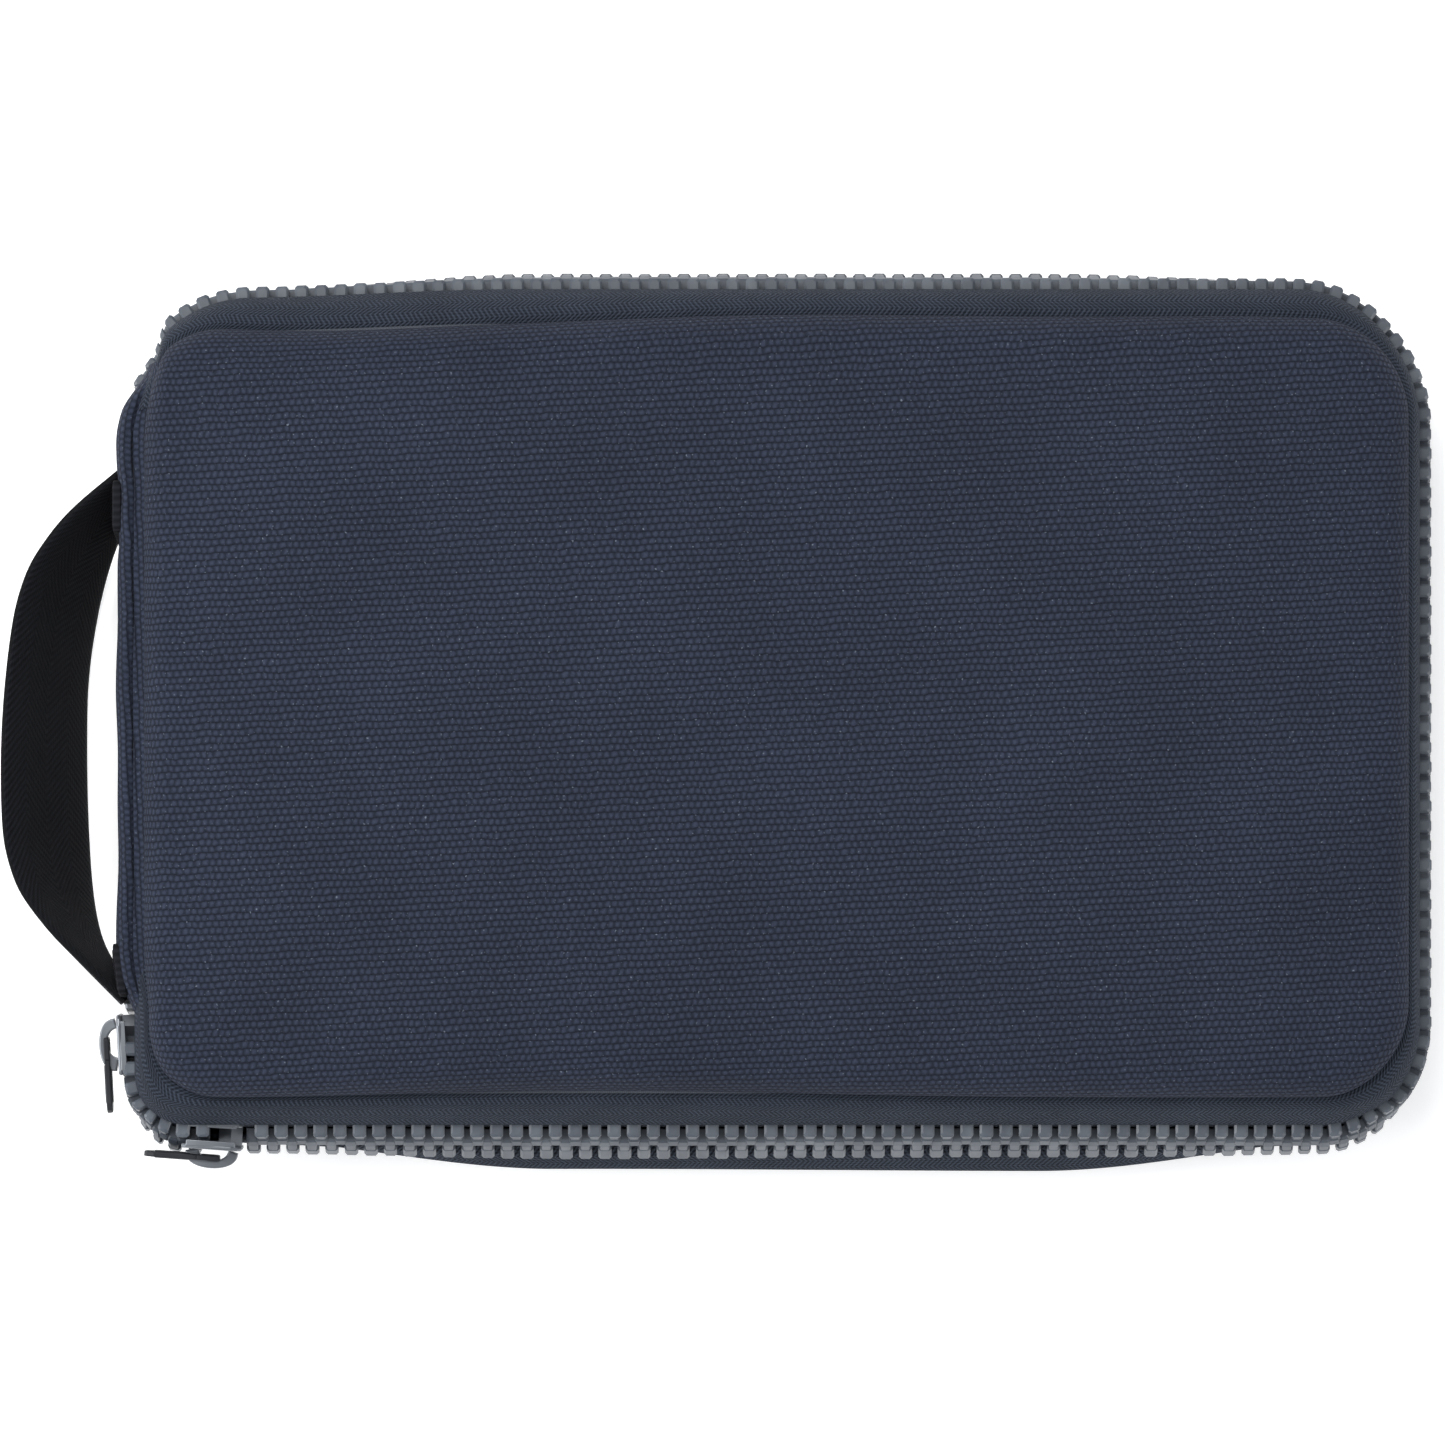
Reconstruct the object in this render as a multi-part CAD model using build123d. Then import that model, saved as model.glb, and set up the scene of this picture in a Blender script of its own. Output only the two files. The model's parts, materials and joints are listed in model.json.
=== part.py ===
from build123d import *
import os
from math import asin, atan2, degrees, hypot

# A soft travel document organizer that opens like a book about a cloth spine.
# It lies on its back: +Z is up through the front panel, +X runs from the spine to the far
# end, and the origin is the centre of the flat face that it lies on. Millimetres.

# ---- overall sizes
case_length = 229.0        # X, over the zip chain and the spine
case_width = 149.0         # Y, over the zip chain
back_rise = 6.0            # resting face up to the back seam
gusset_height = 24.0       # back seam up to the front seam
front_rise = 8.0           # front seam up to the top of the front panel

# ---- outlines
spine_corner_radius = 10.0
far_corner_radius = 18.0
panel_radius = 12.0
end_inset = 5.0            # panel seam in from the chain, at the spine and the far end
side_inset = 7.5           # panel seam in from the chain, at the two long sides
back_edge_round = 3.4
front_edge_round = 6.0

# ---- cloth and padding
canvas = 1.2
foam = 2.5
lining = 0.5
tape = 0.6
fold_gap = 0.3             # cloth left free at each fold line
spine_turn_in = 3.5        # how far the spine's edges slope in to the fold lines

# ---- zip chain
tooth_pitch = 3.39
tooth_length = 2.3         # along the chain
tooth_reach = 3.8          # from the chain's centre line to the back of a tooth
tooth_depth = 2.4          # through the chain
chain_slit = 0.75          # half the gap that the slider's neck runs in
tape_stand = 2.4           # upright stretch of tape behind the teeth
zip_upper_inset = 15.5     # where the spine starts, in from the case's upper side
zip_stop_length = 1.15

# ---- main sliders
slider_length = 10.5
slider_plate = 1.1
slider_flange = 1.4        # how far a flange reaches past the teeth
slider_clearance = 0.3
slider_neck = 2.0
bridge_length = 9.0
bridge_rise = 3.0
bridge_width = 2.2
bridge_bar = 1.1
pull_length = 12.6
pull_width = 5.4
pull_thickness = 1.0
slider_b_start = 6.0       # slider B's near end, out from the fold line
slider_a_travel = 2.0
slider_mouth = 3.0         # teeth are left out this far past slider B, where the rows spread

# ---- handle
webbing_width = 25.0
webbing_thickness = 1.8
handle_depth = 11.0        # how far the loop's middle stands off its two ends
handle_upper_inset = 21.0  # the loop's ends, in from the ends of the spine
handle_lower_inset = 2.0
handle_floor_gap = 0.45    # the lying strap's lower edge, over the resting face
handle_most_droop = 27.0   # further down than this its roots would meet the sewn tabs
handle_pivot_gap = 0.5     # pivot line, out from the sewn tabs
handle_root_gap = 2.5      # the loop's ends, out from the pivot line
handle_root_width = 6.0
handle_full_at = 9.0       # full width is reached this far out from the pivot line
handle_tab_length = 9.0
handle_tab_past = 1.5      # how far a tab runs on past the loop's end
handle_tab_height = 20.0
bar_tack = 0.4
tack_width = 1.6
tack_margin = 1.5

# ---- what goes inside
passport_length = 125.0
passport_width = 88.0
card_length = 85.6
card_width = 54.0
pocket_ease = 5.0          # pocket's inside is this much larger than what it holds
pocket_cloth = 0.8
passport_gap = 3.4
ticket_gap = 2.0
card_gap = 1.0
card_step = 14.0
card_show = 10.0           # how much of a card stands out of its slot
card_inset = 2.8           # the slots' lower edge, in from the pockets' lower edge
card_column_gap = 8.0
pocket_margin = 7.0        # pockets stay this far inside the lining's edge
zip_pocket_gap = 2.6
inner_zip_inset = 22.8     # inner zip, in from the pockets' upper edge
inner_coil = 0.8           # each row of the inner zip's coil
inner_coil_depth = 1.2
inner_slit = 0.5
inner_clearance = 0.25
inner_tape_width = 5.0
inner_slider_length = 8.0
inner_plate = 0.8
inner_neck = 1.2
inner_bridge = (5.0, 2.2, 1.4, 0.7)   # length, rise, width, bar
inner_pull = (9.0, 3.4, 0.8)          # length, width, thickness
inner_end = 10.0           # the inner zip ends this far short of its pocket's sides

# ---- worked-out places
thickness = back_rise + gusset_height + front_rise
seam_back = back_rise
seam_front = back_rise + gusset_height
chain_z = (seam_back + seam_front) / 2
panel_length = case_length - 2 * end_inset
panel_width = case_width - 2 * side_inset
fold_x = -panel_length / 2                     # both fold lines lie in this plane
spine_x = -case_length / 2                     # outer face of the spine
chain_inset = tooth_depth / 2                  # chain's middle surface, in from its outside
chain_x = case_length / 2 - chain_inset
chain_y = case_width / 2 - chain_inset
slider_half = slider_length / 2
slider_b_x = fold_x + slider_b_start + slider_half
slider_a_low = spine_corner_radius - case_width / 2 + slider_clearance
slider_a_y = slider_a_low + slider_a_travel + slider_half
zip_stop_y = slider_a_y + slider_half + slider_clearance
zip_lower_end = zip_stop_y + zip_stop_length + fold_gap   # Y where the spine ends, below
zip_upper_end = case_width / 2 - zip_upper_inset          # Y where the spine starts, above
handle_x = spine_x - webbing_thickness - handle_pivot_gap
handle_upper_y = zip_upper_end - handle_upper_inset
handle_lower_y = zip_lower_end + handle_lower_inset
handle_reach = handle_root_gap + handle_depth + webbing_thickness / 2
back_floor = canvas + foam + lining            # inside face of the back lining
front_ceiling = thickness - canvas - foam - lining
pocket_x = panel_length / 2 - canvas - pocket_margin
pocket_y = panel_width / 2 - canvas - pocket_margin
inner_zip_y = pocket_y - inner_zip_inset
card_y = card_inset - pocket_y
BIG = 4 * max(case_length, case_width)


def block(x0, x1, y0, y1, z0, z1):
    """A box between two corners."""
    return Pos((x0 + x1) / 2, (y0 + y1) / 2, (z0 + z1) / 2) * Box(x1 - x0, y1 - y0, z1 - z0)


def outline_edges(half_x, half_y, near_radius, far_radius):
    """Lines and arcs of a rounded rectangle, in order, from the upper corner at the spine."""
    a, b = near_radius, far_radius
    return [
        CenterArc((-half_x + a, half_y - a), a, 180, -90),
        Line((-half_x + a, half_y), (half_x - b, half_y)),
        CenterArc((half_x - b, half_y - b), b, 90, -90),
        Line((half_x, half_y - b), (half_x, -half_y + b)),
        CenterArc((half_x - b, -half_y + b), b, 0, -90),
        Line((half_x - b, -half_y), (-half_x + a, -half_y)),
        CenterArc((-half_x + a, -half_y + a), a, 270, -90),
    ]


def outline(half_x, half_y, near_radius, far_radius):
    """A rounded rectangle with one corner radius at the spine and another at the far end."""
    edges = outline_edges(half_x, half_y, near_radius, far_radius)
    closing = Line((-half_x, -half_y + near_radius), (-half_x, half_y - near_radius))
    return make_face(edges + [closing])


def panel_outline(inset):
    """The seam outline of a panel, moved in by inset."""
    radius = panel_radius - inset
    return outline(panel_length / 2 - inset, panel_width / 2 - inset, radius, radius)


def chain_outline(offset):
    """The chain's middle line, moved out by offset."""
    near = spine_corner_radius - chain_inset + offset
    far = far_corner_radius - chain_inset + offset
    return outline(chain_x + offset, chain_y + offset, near, far)


def dome(inset, rise, edge_round):
    """A panel's padded block: upright sides from z = 0, with its upper edge rounded over."""
    body = extrude(panel_outline(inset), rise - inset)
    top = body.edges().group_by(Axis.Z)[-1]
    return fillet(top, edge_round - inset)


def shell_layers(rise, edge_round):
    """Canvas, padding slab and lining of one panel, open side at z = 0."""
    outer = dome(0, rise, edge_round)
    inner = dome(canvas, rise, edge_round)
    padding_z = rise - canvas - foam
    padding = inner & block(-BIG, BIG, -BIG, BIG, padding_z, rise)
    cloth = inner & block(-BIG, BIG, -BIG, BIG, padding_z - lining, padding_z)
    return outer - inner, padding, cloth


def tape_ring():
    """One side's zip tape, as if the seam were above the chain, centred on z = 0 at the chain.

    It stands upright behind the teeth and then leans in to the panel's seam.
    """
    stand = tooth_reach + tape_stand
    top = gusset_height / 2
    band = chain_outline(tape / 2) - chain_outline(-tape / 2)
    upright = extrude(Pos(0, 0, tooth_reach) * band, tape_stand)
    lower, upper = Pos(0, 0, stand), Pos(0, 0, top)
    outer = loft([lower * chain_outline(tape / 2), upper * panel_outline(0)], ruled=True)
    inner = loft([lower * chain_outline(-tape / 2), upper * panel_outline(tape)], ruled=True)
    return upright + (outer - inner)


def chain_row():
    """One row of teeth above z = 0, as (x, y, solid), in order from the upper end of the zip."""
    near, far = spine_corner_radius - chain_inset, far_corner_radius - chain_inset
    path = Wire(outline_edges(chain_x, chain_y, near, far))
    count = int(path.length / tooth_pitch)
    tooth = Box(tooth_length, tooth_depth, tooth_reach - chain_slit,
                align=(Align.CENTER, Align.CENTER, Align.MIN))
    row = []
    for k in range(count):
        place = path.location_at((k + 0.5) / count)
        way = path.tangent_at((k + 0.5) / count)
        x, y = place.position.X, place.position.Y
        turn = degrees(atan2(way.Y, way.X))
        row.append((x, y, Pos(x, y, chain_slit) * Rot(0, 0, turn) * tooth))
    return row


def slider(length, reach, depth, plate, flange, clearance, neck, bridge, pull):
    """A zip slider as body, bridge and pull, in its own frame.

    X runs along the chain and Y across it, and Z is outward, with the chain's middle at the
    origin. The body is two plates joined by a neck at one end, and their flanges hook round the
    backs of the teeth. The bridge is an arch on the outer plate, and the pull's eye hangs in it.
    """
    half = reach + clearance + flange
    face = depth / 2 + clearance
    slot = tape / 2 + clearance
    body = block(-length / 2, length / 2, -half, half, face, face + plate)
    body += block(-length / 2, length / 2, -half, half, -face - plate, -face)
    for side in (-1, 1):
        near, far = sorted((side * (half - flange), side * half))
        body += block(-length / 2, length / 2, near, far, slot, face)
        body += block(-length / 2, length / 2, near, far, -face, -slot)
    body += block(length / 2 - neck[0], length / 2, -neck[1], neck[1], -face, face)
    rounded = extrude(RectangleRounded(length, 2 * half, plate), face + plate, both=True)
    body = body & rounded
    top = face + plate
    b_length, b_rise, b_width, b_bar = bridge
    arch = block(-b_length / 2, b_length / 2, -b_width / 2, b_width / 2, top, top + b_rise)
    arch = fillet(arch.edges().filter_by(Axis.Y).group_by(Axis.Z)[-1], b_bar)
    arch -= block(b_bar - b_length / 2, b_length / 2 - b_bar, -b_width, b_width, top, top + b_rise - b_bar)
    p_length, p_width, p_thickness = pull
    pivot_z = top + clearance + p_thickness / 2
    swing = ((b_length / 2) ** 2 + (top + b_rise - pivot_z) ** 2) ** 0.5 + clearance
    tab = block(-p_length, p_thickness / 2, -p_width / 2, p_width / 2,
                pivot_z - p_thickness / 2, pivot_z + p_thickness / 2)
    eye = b_width / 2 + clearance
    tab -= block(-swing, -p_thickness / 2, -eye, eye, top, top + b_rise)
    return body, arch, tab


def main_slider():
    """One of the two large sliders."""
    return slider(slider_length, tooth_reach, tooth_depth, slider_plate, slider_flange, slider_clearance,
                  (slider_neck, chain_slit - slider_clearance),
                  (bridge_length, bridge_rise, bridge_width, bridge_bar),
                  (pull_length, pull_width, pull_thickness))


def spine_layer(depth, cloth):
    """A channel of cloth between the fold lines, depth in from the spine's outer face."""
    x0, x1 = spine_x + depth, spine_x + depth + cloth
    fold = fold_x - fold_gap
    low, high = seam_back + fold_gap, seam_front - fold_gap
    slope = spine_turn_in
    points = [
        (fold, low + depth), (x0, low + depth + slope), (x0, high - depth - slope), (fold, high - depth),
        (fold, high - depth - cloth), (x1, high - depth - cloth - slope),
        (x1, low + depth + cloth + slope), (fold, low + depth + cloth),
    ]
    profile = Plane.XZ * make_face(Polyline(*points, close=True))
    middle = (zip_upper_end + zip_lower_end) / 2
    span = zip_upper_end - zip_lower_end - 2 * fold_gap
    return Pos(0, middle, 0) * extrude(profile, span / 2, both=True)


def handle_droop():
    """How far the loop tips down about its pivot, in degrees.

    It stops when its lower edge meets the table, or at its roots' own limit.
    """
    w = webbing_width / 2
    low = (chain_z - handle_floor_gap) / hypot(handle_reach, w)
    return min(degrees(asin(min(low, 1)) - atan2(w, handle_reach)), handle_most_droop)


def handle_strap():
    """Webbing bent to an arc, narrowed at both roots, and tipped down about its pivot."""
    near = handle_x - handle_root_gap
    middle_y = (handle_upper_y + handle_lower_y) / 2
    arc = ThreePointArc((near, handle_upper_y), (near - handle_depth, middle_y), (near, handle_lower_y))
    centre, radius = arc.arc_center, arc.radius
    ring = Circle(radius + webbing_thickness / 2) - Circle(radius - webbing_thickness / 2)
    band = Pos(centre.X, centre.Y, chain_z - webbing_width / 2) * extrude(ring, webbing_width)
    w, r = webbing_width / 2, handle_root_width / 2
    full, far = handle_x - handle_full_at, handle_x - 2 * handle_reach
    points = [(near, -r), (full, -w), (far, -w), (far, w), (full, w), (near, r)]
    keep = Plane.XZ * make_face(Polyline(*points, close=True))
    keep = Pos(0, 0, chain_z) * extrude(keep, case_width, both=True)
    strap = band & keep
    return strap.rotate(Axis((handle_x, 0, chain_z), (0, 1, 0)), -handle_droop())


def pocket(x0, x1, y0, y1, z, gap, mouth, up=1):
    """A patch pocket sewn on three sides, standing on the level z, with an open mouth side.

    up is 1 for a pocket that faces up and -1 for one that faces down.
    """
    t = pocket_cloth
    low, high = sorted((z, z + up * (gap + t)))
    body = block(x0, x1, y0, y1, low, high)
    hollow = {"+x": (x0 + t, x1 + t, y0 + t, y1 - t), "-x": (x0 - t, x1 - t, y0 + t, y1 - t),
              "+y": (x0 + t, x1 - t, y0 + t, y1 + t), "-y": (x0 + t, x1 - t, y0 - t, y1 - t)}[mouth]
    low, high = sorted((z - up * t, z + up * gap))
    return body - block(*hollow, low, high)


def pocket_half(held):
    """Half the outside size of a pocket for a thing of this size."""
    return (held + pocket_ease) / 2 + pocket_cloth


parts = {}

# ---- the two padded panels
for name, layer in zip(("panel", "padding", "lining"), shell_layers(front_rise, front_edge_round)):
    parts["front_" + name] = Pos(0, 0, seam_front) * layer
for name, layer in zip(("panel", "padding", "lining"), shell_layers(back_rise, back_edge_round)):
    parts["back_" + name] = Pos(0, 0, seam_back) * mirror(layer, Plane.XY)

# ---- spine
parts["spine_panel"] = spine_layer(0, canvas)
parts["spine_lining"] = spine_layer(canvas, lining)

# ---- zip tape and teeth: each row is split at the fold lines, and its ends ride on the spine
ring = tape_ring()
half_chain = chain_row()
panel_side = block(fold_x + fold_gap, BIG, -BIG, BIG, -BIG, BIG)
end_x = fold_x - fold_gap
upper_end = block(-BIG, end_x, zip_upper_end, BIG, -BIG, BIG)
lower_end = block(-BIG, end_x, -BIG, zip_lower_end, -BIG, BIG)
tooth_half = tooth_length / 2 + slider_clearance


def on_panel_side(x, y):
    """True for a tooth past the fold line and clear of slider B, on a long side or the far end."""
    start = slider_b_x + slider_half + slider_mouth if y < 0 else fold_x
    return x > start + fold_gap + tooth_half


def on_spine_end(x, y):
    """True for a tooth on the spine's side of the fold, past slider A's lower end."""
    low = slider_a_y - slider_half - slider_a_travel
    return x < end_x - tooth_depth / 2 and (y > zip_upper_end + tooth_half or y < low - tooth_half)


def both_rows(part):
    """A piece of the front row with its mirror image in the back row, at the chain's height."""
    return Pos(0, 0, chain_z) * part, Pos(0, 0, chain_z) * mirror(part, Plane.XY)


parts["front_tape"], parts["back_tape"] = both_rows(ring & panel_side)
far_teeth = [tooth for x, y, tooth in half_chain if on_panel_side(x, y)]
parts["front_teeth"], parts["back_teeth"] = both_rows(Compound(far_teeth))
parts["zip_end_upper"] = Compound(list(both_rows(ring & upper_end)))
parts["zip_end_lower"] = Compound(list(both_rows(ring & lower_end)))
end_teeth = Compound([tooth for x, y, tooth in half_chain if on_spine_end(x, y)])
parts["end_teeth"] = Compound(list(both_rows(end_teeth)))
parts["zip_stop"] = block(-chain_x - chain_inset, -chain_x + chain_inset,
                          zip_stop_y, zip_stop_y + zip_stop_length,
                          chain_z - tooth_reach, chain_z + tooth_reach)

# ---- sliders, each facing outward, with its pull towards the lower corner at the spine
body, bridge, pull = main_slider()
at_a = Location(Plane(origin=(-chain_x, slider_a_y, chain_z), x_dir=(0, 1, 0), z_dir=(-1, 0, 0)))
at_b = Location(Plane(origin=(slider_b_x, -chain_y, chain_z), x_dir=(1, 0, 0), z_dir=(0, -1, 0)))
for letter, place in (("a", at_a), ("b", at_b)):
    parts[f"slider_{letter}_body"] = place * body
    parts[f"slider_{letter}_bridge"] = place * bridge
    parts[f"slider_{letter}_pull"] = place * pull

# ---- handle
parts["handle_strap"] = handle_strap()
tab_face = spine_x - webbing_thickness
tacks = []
for end, y, way in (("upper", handle_upper_y, -1), ("lower", handle_lower_y, 1)):
    y0, y1 = sorted((y - way * handle_tab_past, y - way * handle_tab_past + way * handle_tab_length))
    low, high = chain_z - handle_tab_height / 2, chain_z + handle_tab_height / 2
    parts["handle_root_" + end] = block(tab_face, spine_x, y0, y1, low, high)
    for side in (-1, 1):
        z = chain_z + side * (handle_tab_height / 2 - tack_margin)
        tacks.append(block(tab_face - bar_tack, tab_face, y0 + tack_margin, y1 - tack_margin,
                           z - tack_width / 2, z + tack_width / 2))
parts["bar_tacks"] = Compound(tacks)

# ---- pockets on the back panel's lining
sleeve_top = back_floor + ticket_gap + pocket_cloth
parts["ticket_sleeve"] = pocket(-pocket_x, pocket_x, -pocket_y, pocket_y, back_floor, ticket_gap, "+x")
half_x, half_y = pocket_half(passport_length), pocket_half(passport_width)
parts["passport_pocket"] = pocket(-half_x, half_x, -half_y, half_y, sleeve_top, passport_gap, "-x")

# ---- zipped pocket under the front panel's lining
edge = inner_slit + inner_coil
tape_y = (inner_zip_y - edge - inner_tape_width, inner_zip_y + edge + inner_tape_width)
parts["zip_pocket_panel"] = pocket(-pocket_x, pocket_x, -pocket_y, tape_y[0],
                                   front_ceiling, zip_pocket_gap, "+y", -1)
parts["zip_pocket_top"] = pocket(-pocket_x, pocket_x, tape_y[1], pocket_y,
                                 front_ceiling, zip_pocket_gap, "-y", -1)
pocket_face = front_ceiling - zip_pocket_gap - pocket_cloth
inner_z = pocket_face + tape / 2
for end, side in (("lower", -1), ("upper", 1)):
    y0, y1 = sorted((inner_zip_y + side * edge, inner_zip_y + side * (edge + inner_tape_width)))
    parts["inner_tape_" + end] = block(-pocket_x, pocket_x, y0, y1, pocket_face, pocket_face + tape)
coil_end = pocket_x - inner_end
coil_low, coil_high = inner_z - inner_coil_depth / 2, inner_z + inner_coil_depth / 2
parts["inner_coil"] = Compound([
    block(-coil_end, coil_end, y0, y0 + inner_coil, coil_low, coil_high)
    for y0 in (inner_zip_y - edge, inner_zip_y + inner_slit)])
body, bridge, pull = slider(inner_slider_length, edge, inner_coil_depth, inner_plate, inner_plate,
                            inner_clearance, (inner_neck, inner_slit - inner_clearance),
                            inner_bridge, inner_pull)
inner_x = -coil_end + inner_slider_length / 2
place = Location(Plane(origin=(inner_x, inner_zip_y, inner_z), x_dir=(1, 0, 0), z_dir=(0, 0, -1)))
parts["inner_slider_body"] = place * body
parts["inner_slider_bridge"] = place * bridge
parts["inner_slider_pull"] = place * pull

# ---- card slots in two columns on the zipped pocket, the deeper of each pair sewn on first
slot_width = 2 * pocket_half(card_length)
for column in (0, 1):
    x0 = card_column_gap / 2 - (1 - column) * (slot_width + card_column_gap)
    for layer in (0, 1):
        mouth_y = card_y + card_width - card_show + (1 - layer) * card_step
        level = pocket_face - layer * (card_gap + pocket_cloth)
        parts[f"card_slot_{2 * column + layer + 1}"] = pocket(x0, x0 + slot_width, card_y, mouth_y,
                                                               level, card_gap, "+y", -1)

os.makedirs("parts", exist_ok=True)
for name, part in parts.items():
    export_step(part, f"parts/{name}.step")
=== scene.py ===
import json
from math import pi, radians

import bpy
import numpy as np
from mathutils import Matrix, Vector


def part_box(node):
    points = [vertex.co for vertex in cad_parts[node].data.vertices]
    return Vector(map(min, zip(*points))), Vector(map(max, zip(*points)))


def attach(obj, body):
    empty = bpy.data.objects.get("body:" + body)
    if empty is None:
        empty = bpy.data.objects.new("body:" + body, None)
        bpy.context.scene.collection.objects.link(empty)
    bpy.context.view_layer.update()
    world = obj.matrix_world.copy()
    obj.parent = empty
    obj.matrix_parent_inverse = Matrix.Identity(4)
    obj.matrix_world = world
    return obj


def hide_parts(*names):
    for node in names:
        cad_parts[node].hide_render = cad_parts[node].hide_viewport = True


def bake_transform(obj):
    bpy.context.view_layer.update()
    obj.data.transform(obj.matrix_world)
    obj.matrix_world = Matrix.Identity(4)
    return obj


# A canvas travel document organizer with a zip round three sides, a cloth spine and a webbing
# handle. Sizes are in millimetres and become metres in put_mesh. X runs from the spine to the
# far end, Y across, and Z up through the front panel.
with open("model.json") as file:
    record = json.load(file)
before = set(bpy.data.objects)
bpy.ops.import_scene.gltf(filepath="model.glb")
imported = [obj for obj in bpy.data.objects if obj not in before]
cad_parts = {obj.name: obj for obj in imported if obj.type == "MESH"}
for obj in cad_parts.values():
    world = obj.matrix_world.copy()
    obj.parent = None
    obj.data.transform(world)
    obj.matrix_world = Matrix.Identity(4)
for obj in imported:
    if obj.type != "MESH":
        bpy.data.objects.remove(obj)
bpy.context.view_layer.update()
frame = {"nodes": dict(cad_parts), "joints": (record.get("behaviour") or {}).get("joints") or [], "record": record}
MM = 0.001


# ---------------------------------------------------------------- places read from the frame
def box_mm(node):
    """Lowest and highest corner of a CAD node in millimetres."""
    low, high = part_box(node)
    return np.array(low) / MM, np.array(high) / MM


panel_low, panel_high = box_mm("front_panel")
PANEL_X, PANEL_Y = panel_high[:2]
SEAM_FRONT, TOP = panel_low[2], panel_high[2]
SEAM_BACK = box_mm("back_panel")[1][2]
BACK_RISE = SEAM_BACK - 0.7         # the back canvas stays this far short of the table
CHAIN_Z = (SEAM_FRONT + SEAM_BACK) / 2
TOOTH_DEPTH = 2.4
CHAIN_X = box_mm("front_teeth")[1][0] - TOOTH_DEPTH / 2
CHAIN_Y = box_mm("back_teeth")[1][1] - TOOTH_DEPTH / 2
FOLD_X = panel_low[0]
(SPINE_X, SPINE_LOW), SPINE_HIGH = box_mm("spine_panel")[0][:2], box_mm("spine_panel")[1][1]
SLIDER_A = sum(box_mm("slider_a_body")) / 2
SLIDER_B = sum(box_mm("slider_b_body")) / 2
PITCH = 3.39                        # from tooth to tooth
PAD, BACK_PAD = 3.7, 3.1            # canvas and padding together
EDGE_IN = 0.7                       # the linings end this far inside the panels' seams
SIDE_SHIFT = 1.0                    # the camera and the handle's edges share this offset in Y


# ---------------------------------------------------------------- mesh helpers
def put_mesh(name, verts, faces, material, body=None, smooth=True, uv=None):
    """A mesh object from points in millimetres, riding on a body, with an optional cloth UV map."""
    mesh = bpy.data.meshes.new(name)
    mesh.from_pydata((np.asarray(verts, float).reshape(-1, 3) * MM).tolist(), [], faces)
    if uv is not None:
        layer = mesh.uv_layers.new(name="cloth")
        index = np.zeros(len(mesh.loops), np.int32)
        mesh.loops.foreach_get("vertex_index", index)
        layer.data.foreach_set("uv", np.asarray(uv, np.float32).reshape(-1, 2)[index].ravel())
    mesh.polygons.foreach_set("use_smooth", np.full(len(mesh.polygons), smooth))
    mesh.materials.append(material)
    mesh.update()
    piece = bpy.data.objects.new(name, mesh)
    bpy.context.scene.collection.objects.link(piece)
    if body:
        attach(piece, body)
    return piece


def repeated(faces, step, count):
    """A shape's faces for each of count shapes whose points follow each other, step for each."""
    return [[n * step + k for k in face] for n in range(count) for face in faces]


def grid_faces(rows, columns, wrap=False, flip=False):
    """Quads between neighbouring rows and columns of a grid of points."""
    i = np.arange(rows - 1)[:, None]
    j = np.arange(columns if wrap else columns - 1)[None, :]
    k = (j + 1) % columns
    quads = np.stack([i * columns + j, i * columns + k, (i + 1) * columns + k, (i + 1) * columns + j], -1)
    quads = quads.reshape(-1, 4)
    return (quads[:, ::-1] if flip else quads).tolist()


def smoothstep(x, low, high):
    """0 below low and 1 above high, with a smooth ramp between."""
    t = np.clip((x - low) / (high - low), 0, 1)
    return t * t * (3 - 2 * t)


def arc_lengths(points):
    """Distance along each row of points from its first point."""
    steps = np.linalg.norm(np.diff(points, axis=-2), axis=-1)
    return np.concatenate([np.zeros(steps.shape[:-1] + (1,)), np.cumsum(steps, -1)], -1)


# ---------------------------------------------------------------- outlines
def rounded_outline(half_x, half_y, radii, per_side=150, per_corner=36):
    """Points and outward normals round a rectangle with its own radius at each corner.

    It starts at the middle of the spine's side and goes up, along the top, down the far end and
    back along the lower side. Two outlines made with the same counts match point for point.
    """
    near_top, far_top, far_low, near_low = radii
    corners = [(-half_x + near_top, half_y - near_top, near_top, 180),
               (half_x - far_top, half_y - far_top, far_top, 90),
               (half_x - far_low, -half_y + far_low, far_low, 0),
               (-half_x + near_low, -half_y + near_low, near_low, -90)]
    points = [np.array([[-half_x, 0.0]])]
    normals = [np.array([[-1.0, 0.0]])]
    for x, y, r, start in corners:
        turn = np.radians(start - np.linspace(0, 90, per_corner))
        way = np.stack([np.cos(turn), np.sin(turn)], -1)
        arc = np.array([x, y]) + r * way
        last, first = points[-1][-1], arc[0]
        t = np.linspace(0, 1, per_side)[1:-1, None]
        points += [last + (first - last) * t, arc]
        normals += [np.repeat(way[:1], per_side - 2, 0), way]
    last = points[-1][-1]
    t = np.linspace(0, 1, per_side)[1:-1, None]
    points.append(last + (np.array([-half_x, 0.0]) - last) * t)
    normals.append(np.repeat([[-1.0, 0.0]], per_side - 2, 0))
    return np.concatenate(points), np.concatenate(normals)


def edge_distance(x, y, half_x, half_y, r):
    """How far inside a rounded rectangle each point lies."""
    qx, qy = np.abs(x) - half_x + r, np.abs(y) - half_y + r
    outside = np.hypot(np.maximum(qx, 0), np.maximum(qy, 0))
    return r - outside - np.minimum(np.maximum(qx, qy), 0)


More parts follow.
